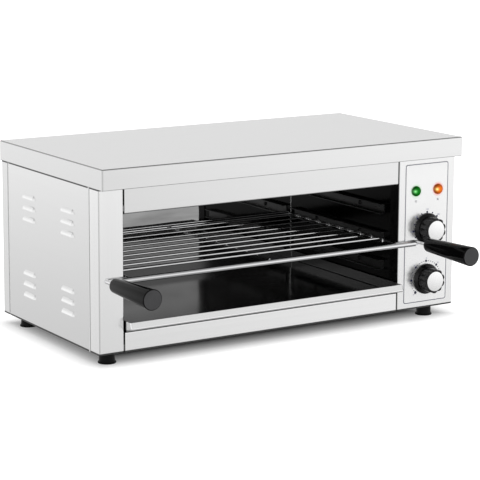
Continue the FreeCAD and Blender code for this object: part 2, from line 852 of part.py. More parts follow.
def channel_screws():
    """Twelve screws that hold the shelf channels to the cavity walls."""
    part = body("channel_screws", "cavity_middle", group=True)
    tips = []
    for _, sign in SIDES:
        flat = sketch(part, "XZ", "channel_screw_first", "0", "channel_lowest + channel_height / 2")
        screw_outline(flat, sign + "(cavity_half - gauge)", sign + "(cavity_half - gauge + screw_length)")
        tips.append(spin(part, flat))
    steps = [("Z", "channel_pitch", str(len(TIERS))), ("Y", "channel_screws_apart", "2")]
    grid_of(part, tips, steps)
    return part


def tray_runner(side, sign):
    """Angle on a cavity wall that the crumb tray slides on."""
    part = body("tray_runner_" + side, "cavity_middle")
    wall = sign + "cavity_half"
    path = [(wall, "runner_top - runner_height"), (wall, "runner_top"),
            (sign + "(cavity_half - runner_depth)", "runner_top")]
    flat = trace(sketch(part, "XZ", "return_depth + gauge"), strip_corners(path))
    extrude(part, flat, "wall_back - runner_rear_room - return_depth - gauge")
    return part


def control_body(name, width, depth, level):
    """Switch block behind the control panel, with the bushing that carries its shaft."""
    part = body(name + "_body", "knob_across", "0", level)
    half = "(%s) / 2" % width
    flat = trace(sketch(part, "XZ", "gauge"), box_corners("-" + half, "-" + half, half, half))
    extrude(part, flat, depth)
    round_edges(part, "control_round", lambda edge: runs_along(edge, Y_AXIS))
    bushing = circle(sketch(part, "XZ", "-label_gauge"), "0", "0", "bushing_diameter")
    extrude(part, bushing, "gauge + label_gauge")
    bore = circle(sketch(part, "XZ", "-label_gauge"), "0", "0", "shaft_diameter + 2 * shaft_fit")
    extrude(part, bore, "label_gauge + shaft_depth + gauge", "Pocket")
    return part


def thermostat_bulb():
    """Sensing bulb along the front of the element space, with its capillary to the thermostat."""
    part = body("thermostat_bulb")
    start = "bulb_right - bulb_length"
    bulb = trace(sketch(part, "XZ", "bulb_depth", "0", "bulb_level"),
                 [(start, "0"), (start + " + bulb_diameter / 2", "bulb_diameter / 2"),
                  ("bulb_right - bulb_diameter / 2", "bulb_diameter / 2"), ("bulb_right", "0")])
    spin(part, bulb)
    drop = "knob_across - capillary_offset"
    path = trace(sketch(part, "XZ", "bulb_depth"),
                 [("bulb_right - bulb_diameter / 2", "bulb_level"), (drop, "bulb_level", "capillary_bend"),
                  (drop, "thermostat_level + thermostat_width / 2")], False)
    section = circle(sketch(part, "YZ", "bulb_right - bulb_diameter / 2"), "bulb_depth", "bulb_level",
                     "capillary_diameter")
    sweep(part, section, path)
    return part


def bulb_clips():
    """Two clips that hang the bulb under the reflector."""
    part = body("bulb_clips", group=True)
    bore = "bulb_diameter + 2 * clip_fit"
    start = "bulb_right - bulb_length + clip_margin - clip_width / 2"
    ring = circle(sketch(part, "YZ", start), "bulb_depth", "bulb_level", "%s + 2 * clip_wall" % bore)
    loop = extrude(part, ring, "clip_width")
    edge = "bulb_depth + clip_wall / 2"
    tab = box_corners("bulb_depth - clip_wall / 2", "bulb_level", edge, "reflector_top - gauge")
    strap = extrude(part, trace(sketch(part, "YZ", start), tab), "clip_width")
    hole = circle(sketch(part, "YZ", start), "bulb_depth", "bulb_level", bore)
    hollow = extrude(part, hole, "clip_width", "Pocket")
    row_of(part, "X", "bulb_length - 2 * clip_margin", "2", [loop, strap, hollow])
    return part


def indicator_lamp(colour, across):
    """Indicator lamp: domed lens on the panel's face and the barrel behind it."""
    lens = body(colour + "_lamp_lens", across, "-label_gauge", "lamp_level")
    rim = "lens_diameter / 2"
    spin(lens, trace(sketch(lens, "YZ"), [("0", "0"), ("0", rim), ("-lens_rim", rim),
                                          ("-lens_height", rim + " - 1", "lens_height - lens_rim"),
                                          ("-lens_height", "0")]))
    barrel = body(colour + "_lamp_body", across, "-label_gauge", "lamp_level")
    wall = "lamp_barrel / 2"
    start = "gauge + label_gauge"
    stop = start + " + lamp_collar_depth"
    collar = "lamp_collar / 2"
    spin(barrel, trace(sketch(barrel, "YZ"), [("0", "0"), ("0", wall), (start, wall), (start, collar),
                                              (stop, collar), (stop, wall), ("lamp_depth", wall),
                                              ("lamp_depth", "0")]))
    return [lens, barrel]


def panel_label():
    """Thin printed plate on the control panel."""
    part = body("panel_label")
    corners = box_corners("open_right + label_left", "label_bottom", "body_width - label_right", "label_top",
                          "label_corner")
    flat = trace(sketch(part, "XZ", "-label_gauge"), corners)
    control_holes(flat)
    extrude(part, flat, "label_gauge")
    return part


def knob(name, level):
    """Fluted knob on a wide skirt, its inlaid cap and its flatted shaft."""
    base = "-label_gauge - knob_gap"
    part = body(name + "_knob", "knob_across", base, level)
    grip = "knob_grip / 2"
    seat = "-(knob_height - cap_seat)"
    seat_radius = "cap_diameter / 2 + cap_fit"
    skirt = "skirt_diameter / 2"
    spin(part, trace(sketch(part, "YZ"), [("0", "0"), ("0", skirt), ("-skirt_edge", skirt),
                                          ("-skirt_height", "skirt_top / 2"), ("-skirt_height", grip),
                                          ("-knob_height + knob_bevel", grip),
                                          ("-knob_height", grip + " - knob_bevel"),
                                          ("-knob_height", seat_radius), (seat, seat_radius), (seat, "0")]))
    flat = circle(sketch(part, "XZ", "-knob_height"), "0", grip + " + flute_offset", "flute_diameter")
    flute = extrude(part, flat, "knob_height - skirt_height - flute_foot", "Pocket")
    ring = part.newObject("PartDesign::PolarPattern", "Flutes")
    ring.Originals = [flute]
    ring.Axis = (flat, ["N_Axis"])
    ring.Angle = 360
    tie(ring, "Occurrences", "flute_count")
    part.Tip = ring
    bore = d_section(sketch(part, "XZ"), "shaft_diameter + 2 * shaft_fit", "shaft_flat")
    extrude(part, bore, "shaft_grip + shaft_fit", "Pocket", back=True)

    cap = body(name + "_knob_cap", "knob_across", base, level)
    top = "-(knob_height - cap_seat + cap_height)"
    rim = "cap_diameter / 2"
    spin(cap, trace(sketch(cap, "YZ"), [(seat, "0"), (seat, rim), (top + " + cap_bevel", rim),
                                        (top, rim + " - cap_bevel"), (top, "0")]))

    shaft = body(name + "_shaft", "knob_across", base, level)
    section = d_section(sketch(shaft, "XZ", "-shaft_grip"), "shaft_diameter", "shaft_flat")
    extrude(shaft, section, "shaft_grip + label_gauge + knob_gap + shaft_depth")
    return [part, cap, shaft]


def terminal_block():
    """Terminal block on the back sheet, behind the controls."""
    part = body("terminal_block", "knob_across", "body_depth - gauge", "block_level")
    half = "block_width / 2"
    level = "-block_depth"
    outline = box_corners("-" + half, "-block_height / 2", half, "block_height / 2")
    flat = trace(sketch(part, "XZ", level), outline)
    extrude(part, flat, "block_depth")
    hole = circle(sketch(part, "XZ", level), "-block_pole_pitch", "0", "block_pole_diameter")
    pocket = extrude(part, hole, "block_pole_depth", "Pocket")
    row_of(part, "X", "block_pole_pitch", "block_poles", [pocket])
    return part


def hexagon(flat, flats):
    """Hexagon about the sketch's origin, from its width across flats."""
    half = "(%s) / 2" % flats
    reach = "(%s) / sqrt(3)" % flats
    return trace(flat, [(reach, "0"), (reach + " / 2", half), ("-%s / 2" % reach, half), ("-" + reach, "0"),
                        ("-%s / 2" % reach, "-" + half), (reach + " / 2", "-" + half)])


def cable_gland():
    """Gland through the back sheet, and its lock nut inside."""
    gland = body("gland_body", "gland_across", "body_depth", "gland_level")
    extrude(gland, hexagon(sketch(gland, "XZ"), "gland_flats"), "gland_flange")
    thread = "gland_thread / 2"
    reach = "gland_flange + gland_dome"
    crown = "gland_dome_end / 2"
    spin(gland, trace(sketch(gland, "YZ"), [("-gland_thread_length", "0"), ("-gland_thread_length", thread),
                                            ("0", thread), ("gland_flange", "gland_flats / 2 - 1"),
                                            (reach + " - gland_dome_bevel", crown),
                                            (reach, crown + " - gland_dome_bevel"), (reach, "0")]))
    bore = circle(sketch(gland, "XZ", reach), "0", "0", "gland_bore")
    extrude(gland, bore, "%s + gland_thread_length" % reach, "Pocket", back=True)

    nut = body("gland_nut", "gland_across", "body_depth - gauge", "gland_level")
    extrude(nut, hexagon(sketch(nut, "XZ"), "gland_flats"), "gland_nut", back=True)
    hole = circle(sketch(nut, "XZ"), "0", "0", "gland_thread + 2 * gland_fit")
    extrude(nut, hole, "gland_nut", "Pocket", back=True)
    return [gland, nut]


def foot(label, x, y):
    """Tapered foot on a wider base, with a recess for its screw."""
    part = body(label, x, y, "-foot_height")
    hole = "foot_screw / 2 + foot_screw_fit"
    base = "foot_base / 2"
    corners = [("foot_recess / 2", "0"), (base, "0"), (base, "foot_base_height - foot_base_bevel"),
               (base + " - foot_base_bevel", "foot_base_height"), ("foot_lower / 2", "foot_base_height"),
               ("foot_upper / 2", "foot_height"), (hole, "foot_height"), (hole, "foot_recess_depth"),
               ("foot_recess / 2", "foot_recess_depth")]
    spin(part, trace(sketch(part, "XZ"), corners), axis="V_Axis")
    return part


def foot_screws():
    """Screws up through the feet and the base pan, with their nuts."""
    part = body("foot_screws", "foot_inset_left", "foot_inset_front", "-foot_height", group=True)
    shank = "foot_screw / 2"
    head = "foot_screw_head / 2"
    seat = "foot_recess_depth"
    tip = "foot_height + gauge + foot_nut_height + foot_screw_spare"
    screw = spin(part, trace(sketch(part, "XZ"), [("0", seat + " - foot_screw_head_height"),
                                                  (head, seat + " - foot_screw_head_height"), (head, seat),
                                                  (shank, seat), (shank, tip), ("0", tip)]), axis="V_Axis")
    steps = [("X", "body_width - foot_inset_left - foot_inset_right", "2"),
             ("Y", "body_depth - foot_inset_front - foot_inset_rear", "2")]
    grid_of(part, [screw], steps)
    flats = hexagon(sketch(part, "XY", "foot_height + gauge"), "foot_nut_flats")
    nut = extrude(part, flats, "foot_nut_height")
    grid_of(part, [nut], steps)
    return part


def casing_screws():
    """Screws along the back of the hood and along the foot of the back sheet."""
    part = body("casing_screws", group=True)
    rows = []
    for seat, level in (("body_depth + hood_rear", "hood_screw_level"), ("body_depth", "pan_screw_level")):
        flat = sketch(part, "YZ", "body_width / 2 - hood_screws_apart", "0", level)
        rows.append(spin(part, screw_outline(flat, seat, seat + " - screw_length")))
    row_of(part, "X", "hood_screws_apart", "hood_screw_count", rows)
    return part


def rack_rod(side, sign):
    """Side rod of the rack, bent outwards in front of the casing and forwards again into its grip."""
    part = body("rack_rod_" + side, "cavity_middle", "0", "rod_level")
    along = sign + "rod_side"
    out = sign + "stud_spread"
    front = "-rod_stand"
    turns = [(along, "rod_back"), (along, front, "rod_bend"), (out, front, "rod_bend"),
             (out, "-grip_stand - stud_depth")]
    path = trace(sketch(part, "XY"), turns, False)
    sweep(part, circle(sketch(part, "XZ", "rod_back"), along, "0", "rod_diameter"), path)
    return part


def cross_rod(label, y, z, half, diameter):
    """Straight rod across the rack."""
    part = body(label, "cavity_middle", y, z)
    flat = circle(sketch(part, "YZ", "-(%s)" % half), "0", "0", diameter)
    extrude(part, flat, "2 * (%s)" % half)
    return part


def rack_wires():
    """Cross wires of the rack, each with its ends bent down beside the side rods."""
    part = body("rack_wires", "cavity_middle", group=True)
    low = "wire_level - wire_leg"
    path = trace(sketch(part, "XZ", "wire_first"), [("-wire_end", low), ("-wire_end", "wire_level"),
                                                    ("wire_end", "wire_level"), ("wire_end", low)], False)
    section = circle(sketch(part, "XY", low), "-wire_end", "wire_first", "wire_diameter")
    wire = sweep(part, section, path)
    wire.Transition = "Right corner"
    row_of(part, "Y", "wire_pitch", "wire_count", [wire])
    return part


def rack_centre_wire():
    """Wire along the middle of the rack, under the cross wires."""
    start = "-bar_back + bar_radius + weld_gap"
    part = body("rack_centre_wire", "cavity_middle", "0", "wire_level - wire_diameter - weld_gap")
    flat = circle(sketch(part, "XZ", start), "0", "0", "wire_diameter")
    extrude(part, flat, "rod_back - rod_diameter - weld_gap - (%s)" % start)
    return part


def grip(side, sign):
    """Turned handle that widens towards its tip, on the stud of a side rod."""
    part = body("grip_" + side, "cavity_middle + %s1 * stud_spread" % sign, "-grip_stand", "rod_level")
    corners = [("0", "0"), ("0", "grip_root / 2", "grip_root_round"),
               ("-grip_length + grip_tip_bevel", "grip_tip / 2"),
               ("-grip_length", "grip_tip / 2 - grip_tip_bevel"), ("-grip_length", "0")]
    spin(part, trace(sketch(part, "YZ"), corners))
    bore = circle(sketch(part, "XZ"), "0", "0", "rod_diameter + 2 * stud_fit")
    extrude(part, bore, "stud_depth + stud_fit", "Pocket", back=True)
    return part


def crumb_tray():
    """Shallow tray with a rising nose and a front wall that leans back."""
    part = body("crumb_tray")
    nose = "-tray_nose"
    corners = [("tray_rise_start", "tray_floor"), ("tray_back", "tray_floor"), ("tray_back", "tray_top"),
               ("%s + tray_lean" % nose, "tray_top"), (nose, "tray_floor + tray_rise")]
    flat = trace(sketch(part, "YZ", "tray_left"), corners)
    extrude(part, flat, "tray_right - tray_left")
    hollow_out(part, "tray_top")
    for inset, radius in (("0", "tray_round"), ("gauge", "tray_round - gauge")):
        left = size("tray_left + " + inset)
        right = size("tray_right - " + inset)
        round_edges(part, radius, lambda edge: tray_fold(edge, left, right))
    return part


def tray_fold(edge, left, right):
    """True for a folded edge of the tray between two side levels, as against its open rim."""
    box = edge.BoundBox
    beside = box.XLength < 0.01 and min(abs(box.XMin - left), abs(box.XMin - right)) < 0.01
    across = abs(box.XLength - (right - left)) < 0.01
    return (beside or across) and not at_level(edge, Z_AXIS, "tray_top")


def casing():
    parts = [hood_cover(), front_pillar("left_post", "post_width", "0"), control_front(), front_fascia()]
    parts += [bottom_rail(), rear_panel(), base_pan(), casing_screws()]
    side = left_side_panel()
    parts += [side, mirrored("right_side_panel", side, "body_width / 2 - middle_x")]
    parts += [foot(*place) for place in foot_places()]
    parts.append(foot_screws())
    return parts


def cavity():
    parts = [cavity_back(), heat_reflector(), element_ferrules(), element_hangers(), channel_screws()]
    parts += [heating_element("front", 0), heating_element("rear", 1)]
    for side, sign in SIDES:
        parts += [cavity_wall(side, sign), tray_runner(side, sign)]
        parts += [shelf_channel(side, sign, tier, name) for tier, name in enumerate(TIERS)]
    return parts


def controls():
    parts = [panel_label(), terminal_block(), thermostat_bulb(), bulb_clips()]
    parts.append(control_body("thermostat", "thermostat_width", "thermostat_depth", "thermostat_level"))
    parts.append(control_body("timer", "timer_width", "timer_depth", "timer_level"))
    parts += knob("thermostat", "thermostat_level")
    parts += knob("timer", "timer_level")
    parts += indicator_lamp("green", "lamp_left")
    parts += indicator_lamp("amber", "lamp_right")
    parts += cable_gland()
    return parts


def rack():
    between = "rod_side - rod_radius - weld_gap"
    parts = [cross_rod("rack_rear_rod", "rod_back - rod_radius", "rod_level", between, "rod_diameter")]
    reach = "stud_spread - bar_end_room"
    parts.append(cross_rod("rack_front_bar", "-bar_back", "bar_level", reach, "bar_diameter"))
    parts += [rack_wires(), rack_centre_wire()]
    for side, sign in SIDES:
        parts += [rack_rod(side, sign), grip(side, sign)]
    return parts


def check(parts):
    """Stop when a feature failed, a shape is broken or a cut took nothing away."""
    failed = [item.Label for item in doc.Objects if {"Invalid", "Error"} & set(item.State)]
    broken = [part.Label for part in parts if part.Shape.isNull() or not part.Shape.isValid()]
    cuts = [item for item in doc.Objects if item.TypeId in ("PartDesign::Pocket", "PartDesign::Groove")]
    idle = [cut.Label for cut in cuts if cut.Shape.Volume >= cut.BaseFeature.Shape.Volume - 0.01]
    if failed or broken or idle:
        raise RuntimeError("failed %s, broken %s, idle cuts %s" % (failed, broken, idle))


def main():
    parts = casing() + cavity() + controls() + rack() + [crumb_tray()]
    doc.recompute()
    check(parts)
    os.makedirs("parts", exist_ok=True)
    for part in parts:
        part.Shape.exportStep("parts/%s.step" % part.Label)
    whole = Part.makeCompound([part.Shape for part in parts]).BoundBox
    print("%d nodes, %.1f x %.1f x %.1f mm" % (len(parts), whole.XLength, whole.YLength, whole.ZLength))


main()
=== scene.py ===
"""Looks of the countertop salamander grill, built as an add-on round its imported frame.

Metres, +Z up, front towards -Y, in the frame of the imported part.
"""

import math

import bmesh
import bpy
from bpy.props import FloatProperty, FloatVectorProperty, IntProperty, PointerProperty
from bpy.types import Operator, Panel, PropertyGroup
from mathutils import Matrix, Vector


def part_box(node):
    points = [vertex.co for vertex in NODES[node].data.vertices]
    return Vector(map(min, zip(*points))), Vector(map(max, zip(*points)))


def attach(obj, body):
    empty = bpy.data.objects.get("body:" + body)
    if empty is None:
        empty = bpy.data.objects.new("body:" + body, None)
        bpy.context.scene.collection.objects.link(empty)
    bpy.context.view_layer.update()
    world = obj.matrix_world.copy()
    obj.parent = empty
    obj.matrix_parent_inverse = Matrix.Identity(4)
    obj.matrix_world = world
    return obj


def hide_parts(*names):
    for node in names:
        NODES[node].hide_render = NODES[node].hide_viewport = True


bl_info = {
    "name": "Countertop salamander grill",
    "version": (1, 0, 0),
    "blender": (4, 5, 0),
    "location": "3D View > Sidebar > Grill",
    "description": "Finishes, rack, knobs, lamps and print of a countertop salamander grill",
    "category": "Object",
}

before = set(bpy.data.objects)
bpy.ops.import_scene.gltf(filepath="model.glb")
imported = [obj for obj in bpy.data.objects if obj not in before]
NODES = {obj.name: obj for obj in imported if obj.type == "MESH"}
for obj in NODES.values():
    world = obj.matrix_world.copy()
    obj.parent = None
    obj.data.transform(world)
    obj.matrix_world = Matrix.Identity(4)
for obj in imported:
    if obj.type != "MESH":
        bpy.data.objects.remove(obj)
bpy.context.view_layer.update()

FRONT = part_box("left_post")[0].y
RIGHT_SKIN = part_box("control_front")[1].x
X_AXIS = Vector((1, 0, 0))
Y_AXIS = Vector((0, 1, 0))
Z_AXIS = Vector((0, 0, 1))
SIDES = ("left", "right")
TINY = 1e-6
CREASE = math.radians(32)
# Height of a font over the height of its digits
FONT_SIZE = 1.4

# Dials: the angle from one number to the next, and the numbers
THERMOSTAT_STEP, THERMOSTAT_NUMBERS = math.radians(48), range(0, 301, 50)
TIMER_STEP, TIMER_NUMBERS = math.radians(45), range(0, 31, 5)
MINUTE = TIMER_STEP / 5

# Lamps: the place, what it looks at, and the side of its square
KEY_LAMP = (1.9, -1.6, 1.5), (0, 0, 0.1), 1.6
TOP_LAMP = (-0.3, 0.2, 2.2), (0, 0, 0), 2.0
# Brightness of the studio in mirrors, from straight below (0) to straight above (1)
SKY_BANDS = ((0.0, 0.30), (0.28, 0.45), (0.38, 0.74), (0.45, 0.98), (0.52, 1.0), (0.62, 0.98), (0.74, 0.80),
             (0.84, 0.40), (1.0, 0.36))
# Sides on which mirrors see a brighter studio: the way there, and the brightness away from it and towards it
BRIGHT_SIDES = ((Vector((0.70, -0.70, -0.14)), (0.86, 1.26, 0.92, 1.0)),
                (Vector((-0.53, 0.83, -0.16)), (1.0, 1.22, 0.80, 0.98)),
                (Vector((-0.95, -0.28, -0.10)), (1.0, 1.10, 0.60, 0.90)),
                (Vector((-0.16, 0.82, 0.54)), (1.0, 1.2, 0.95, 0.99)))

# Brushed grain: how often it changes in a metre along the brushing and across it
FINE_GRAIN = 3, 1700
BROAD_GRAIN = 1.5, 210
# Painted shade lines along folds: strength on the fold and beyond it, and how far off it begins to fade and is gone
HOOD_CORNER = 0.25, 0, 0.0006, 0.0018
HOOD_END = 0.62, 0, 0.0009, 0.002
HOOD_EDGE = 0.42, 0, 0.0009, 0.002
CASING_CORNER = 0.34, 0, 0.0005, 0.0016


def middle(node):
    """Middle of a CAD node's box."""
    low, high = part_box(node)
    return (low + high) / 2


def ends_along(node, axis):
    """Low and high end of the line through the middle of a CAD node's box along one axis."""
    ends = []
    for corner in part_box(node):
        end = middle(node)
        setattr(end, axis, getattr(corner, axis))
        ends.append(end)
    return ends


def grey(level):
    return (level, level, level)


# Settings

def a_length(name, description, default):
    return FloatProperty(name=name, description=description, default=default, unit="LENGTH")


def an_angle(name, description, degrees):
    return FloatProperty(name=name, description=description, default=math.radians(degrees), subtype="ANGLE")


def a_power(name, description, default):
    return FloatProperty(name=name, description=description, default=default, unit="POWER")


def a_colour(name, description, default):
    return FloatVectorProperty(name=name, description=description, default=default, subtype="COLOR")


class StageSettings(PropertyGroup):
    camera_place: FloatVectorProperty(
        name="Camera place", description="Where the camera stands",
        default=(-1.4649, -2.2852, 0.6755), subtype="TRANSLATION")
    camera_yaw: an_angle("Camera yaw", "Turn of the view from straight back towards the right", 32.305)
    camera_pitch: an_angle("Camera pitch", "How far the view looks down", 9.849)
    camera_roll: an_angle("Camera roll", "Tilt of the view about its own line", 0.258)
    camera_lens: FloatProperty(
        name="Focal length", description="Focal length on a 36 mm frame", default=141.3, unit="CAMERA")
    camera_rise: FloatProperty(
        name="Vertical shift", description="Shift of the frame, in frame widths", default=-0.104)
    floor_size: a_length("Floor size", "Side of the square floor", 16.0)
    floor_colour: a_colour("Floor colour", "Colour of the floor", grey(0.95))
    floor_lift: FloatProperty(
        name="Floor lift", description="White added to the floor where it is seen", default=0.55)
    sky_level: FloatProperty(
        name="Studio level", description="Level of the even light all round", default=0.80)
    key_power: a_power("Key light", "Power of the large lamp to the right", 16.0)
    top_power: a_power("Top light", "Power of the lamp overhead", 6.0)


class FinishSettings(PropertyGroup):
    steel_colour: a_colour("Steel", "Colour of the brushed casing", grey(0.85))
    steel_roughness: FloatProperty(
        name="Steel roughness", description="Roughness of the brushed casing", default=0.22, subtype="FACTOR")
    # Colour of the painted shade in the seams and along the folds
    seam_colour: a_colour("Seams", "Colour in the seams and along the folds of the casing", grey(0.03))
    liner_colour: a_colour("Liner", "Colour of the polished back", grey(0.42))
    # Painted shade: the tray is darkened inside the grill
    tray_colour: a_colour("Tray floor", "Colour of the tray where the heat has darkened it", grey(0.2))
    # Painted shade: the liner walls are darkened for the shade of the grill space
    wall_colour: a_colour("Liner walls", "Colour of the heat-darkened side walls", grey(0.016))
    chrome_colour: a_colour("Chrome", "Colour of the plated wire", (0.86, 0.86, 0.87))
    plastic_colour: a_colour("Black plastic", "Colour of the grips and knobs", (0.0025, 0.0025, 0.0026))
    rubber_colour: a_colour("Rubber", "Colour of the feet", grey(0.006))
    label_colour: a_colour("Label", "Colour of the control label", grey(0.93))
    print_colour: a_colour("Print", "Colour of the marks on the label", (0.004, 0.006, 0.04))
    number_colour: a_colour("Numbers", "Colour of the numbers on the label", (0.16, 0.18, 0.32))
    border_colour: a_colour("Border", "Colour of the line round the label", (0.012, 0.018, 0.06))
    green_colour: a_colour("Green lens", "Colour of the power lamp", (0.003, 0.21, 0.008))
    green_core: a_colour("Green glow", "Colour of the power lamp's glow", (0.30, 1.0, 0.32))
    amber_colour: a_colour("Amber lens", "Colour of the heating lamp", (1.0, 0.20, 0.015))
    amber_core: a_colour("Amber glow", "Colour of the heating lamp's glow", (1.0, 0.78, 0.25))
    cap_colour: a_colour("Caps", "Colour of the knobs' silver caps", grey(0.97))


class RackSettings(PropertyGroup):
    rod_stand: a_length("Rod stand-off", "Gap from the casing's front to the middle of the side rods", 0.004)
    wire_count: IntProperty(name="Cross wires", description="Number of cross wires", default=10)
    wire_diameter: a_length("Wire diameter", "Diameter of the cross wires", 0.0035)
    wire_bend: a_length("Wire bend", "Radius of the bends at a wire's ends", 0.0035)
    rod_diameter: a_length("Rod diameter", "Diameter of the side rods", 0.0055)
    rod_bend: a_length("Rod bend", "Radius of the side rods' bends", 0.006)
    weld_size: a_length("Weld spot", "Radius of a weld between two wires", 0.0013)


class GripSettings(PropertyGroup):
    root_diameter: a_length("Root diameter", "Diameter of a grip by its rod", 0.0205)
    tip_diameter: a_length("Tip diameter", "Diameter of a grip at its tip", 0.0285)
    root_round: a_length("Root round", "Radius of the edge by the rod", 0.005)
    tip_round: a_length("Tip round", "Radius of the edge at the tip", 0.0012)
    bore_diameter: a_length("Bore", "Diameter of the hole for the rod", 0.0057)
    bore_depth: a_length("Bore depth", "Depth of the hole for the rod", 0.0381)


class KnobSettings(PropertyGroup):
    skirt_diameter: a_length("Skirt diameter", "Diameter of the skirt", 0.046)
    grip_diameter: a_length("Grip diameter", "Diameter over the ribs", 0.037)
    flute_count: IntProperty(name="Flutes", description="Number of flutes round the grip", default=10)
    flute_depth: a_length("Flute depth", "Depth of a flute", 0.0022)
    cap_diameter: a_length("Cap diameter", "Diameter of the silver cap", 0.0298)
    cap_seat: a_length("Cap seat", "Depth of the seat that the cap lies in", 0.0012)
    skirt_edge: a_length("Skirt edge", "Thickness of the skirt at its rim", 0.0016)
    skirt_height: a_length("Skirt height", "Height of the skirt", 0.0052)
    skirt_top: a_length("Skirt top", "Diameter at the top of the skirt", 0.0395)
    edge_round: a_length("Edge round", "Radius of the knob's front edge", 0.0007)
    thermostat_off: an_angle("Thermostat rest", "Angle of the thermostat's zero, clockwise from the top", -144)
    timer_off: an_angle("Timer rest", "Angle of the timer's zero, clockwise from the top", -135)


class LabelSettings(PropertyGroup):
    border_width: a_length("Border width", "Width of the line round the label", 0.001)
    border_inset: a_length("Border inset", "Gap from the label's edge to the line", 0.0004)
    corner_radius: a_length("Corner radius", "Radius of the label's corners", 0.004)
    thermostat_ring: a_length("Thermostat ring", "Radius of the thermostat's dots", 0.0247)
    timer_ring: a_length("Timer ring", "Radius of the timer's dots", 0.0273)
    digit_height: a_length("Digit height", "Height of the dial numbers", 0.0023)
    digit_offset: a_length("Digit offset", "Distance from a dot to the middle of its number", 0.0041)
    ink_thickness: a_length("Ink thickness", "Thickness of the print", 0.00008)
    symbol_size: a_length("Symbol size", "Width of the symbols under the lamps", 0.0034)
    symbol_drop: a_length("Symbol drop", "Distance of the symbols below the lamps", 0.0155)


class ScrewSettings(PropertyGroup):
    head_diameter: a_length("Head diameter", "Diameter of a screw head", 0.0066)
    head_height: a_length("Head height", "Height of a screw head", 0.0018)
    shank_diameter: a_length("Shank diameter", "Diameter of a screw's shank", 0.004)
    shank_length: a_length("Shank length", "Length of a screw under its head", 0.006)
    recess_width: a_length("Recess width", "Width of a slot of the cross recess", 0.0009)
    recess_length: a_length("Recess length", "Length of a slot of the cross recess", 0.0038)


# Meshes

def rounded(corners, segments=6):
    """Points of an open outline through (u, v, radius) corners, with an arc where the radius isn't 0."""
    points = []
    for i, (u, v, radius) in enumerate(corners):
        here = Vector((u, v))
        if not radius:
            points.append(here)
            continue
        before = (Vector(corners[i - 1][:2]) - here).normalized()
        after = (Vector(corners[(i + 1) % len(corners)][:2]) - here).normalized()
        half = before.angle(after) / 2
        centre = here + (before + after).normalized() * (radius / math.sin(half))
        start = here + before * (radius / math.tan(half)) - centre
        sweep = start.angle_signed(here + after * (radius / math.tan(half)) - centre)
        for step in range(segments + 1):
            points.append(centre + Matrix.Rotation(-sweep * step / segments, 2) @ start)
    return points


def linked(name, data):
    """Object of a mesh, curve, lamp or camera, put into the scene."""
    thing = bpy.data.objects.new(name, data)
    bpy.context.scene.collection.objects.link(thing)
    return thing


def finished(name, shape, *finishes):
    """Object of a mesh, smooth except at its sharp edges, with its finishes."""
    shape.name = name
    shape.materials.clear()
    for finish in finishes:
        shape.materials.append(finish)
    shape.shade_smooth()
    shape.set_sharp_from_angle(angle=CREASE)
    return linked(name, shape)


def to_mesh(build):
    """Plain mesh from a bmesh that is then freed."""
    shape = bpy.data.meshes.new("shape")
    build.to_mesh(shape)
    build.free()
    return shape


def turned(profile, place, axis, steps=96, wave=None):
    """Mesh turned about a level axis through a place, from (along, radius) points that run from pole to pole."""
    build = bmesh.new()
    first = axis.cross(Z_AXIS)
    second = axis.cross(first)
    rings = []
    for along, radius in profile:
        foot = place + axis * along
        if radius < TINY:
            rings.append([build.verts.new(foot)])
            continue
        ring = []
        for step in range(steps):
            angle = 2 * math.pi * step / steps
            reach = radius - (wave(along, radius, angle) if wave else 0)
            ring.append(build.verts.new(foot + (first * math.cos(angle) + second * math.sin(angle)) * reach))
        rings.append(ring)
    for here, there in zip(rings, rings[1:]):
        for step in range(steps):
            after = (step + 1) % steps
            corners = [here[step % len(here)], here[after % len(here)], there[after % len(there)],
                       there[step % len(there)]]
            build.faces.new(list(dict.fromkeys(corners)))
    bmesh.ops.recalc_face_normals(build, faces=build.faces)
    return to_mesh(build)


def route(points):
    """Curve object of straight runs, to be thickened by a tree."""
    line = bpy.data.curves.new("route", "CURVE")
    line.dimensions = "3D"
    spline = line.splines.new("POLY")
    spline.points.add(len(points) - 1)
    for knot, point in zip(spline.points, points):
        knot.co = (*point, 1)
    return linked("route", line)


def joined(shapes):
    """One mesh of several."""
    build = bmesh.new()
    for shape in shapes:
        build.from_mesh(shape)
    return to_mesh(build)


def slab(width, depth, height, place):
    """Block about its own middle, then moved."""
    build = bmesh.new()
    bmesh.ops.create_cube(build, size=1.0, matrix=place @ Matrix.Diagonal((width, depth, height, 1)))
    return to_mesh(build)


def flat_plate(loops, level, thickness):
    """Plate on an upright plane that faces the front, from an outer (x, z) outline and one inside it, if any."""
    build = bmesh.new()
    rings = [[[build.verts.new((point[0], y, point[1])) for point in loop] for loop in loops]
             for y in (level, level - thickness)]
    for back, front in zip(*rings):
        count = len(back)
        for i in range(count):
            build.faces.new([back[i], back[(i + 1) % count], front[(i + 1) % count], front[i]])
    for ring in rings:
        if len(loops) == 1:
            build.faces.new(ring[0])
            continue
        outer, inner = ring
        for i in range(len(outer)):
            after = (i + 1) % len(outer)
            build.faces.new([outer[i], outer[after], inner[after], inner[i]])
    bmesh.ops.recalc_face_normals(build, faces=build.faces)
    return to_mesh(build)


def stroke(points, width, level, thickness):
    """Line of even width through (x, z) points, as a plate."""
    left, right = [], []
    for i, point in enumerate(points):
        ahead = (points[min(i + 1, len(points) - 1)] - points[max(i - 1, 0)]).normalized()
        side = Vector((-ahead.y, ahead.x)) * width / 2
        left.append(point + side)
        right.append(point - side)
    return flat_plate([left + right[::-1]], level, thickness)


def evaluated(thing):
    """Plain mesh of an object with its modifiers, which is then removed."""
    bpy.context.view_layer.update()
    graph = bpy.context.evaluated_depsgraph_get()
    shape = bpy.data.meshes.new_from_object(thing.evaluated_get(graph))
    bpy.data.objects.remove(thing)
    return shape


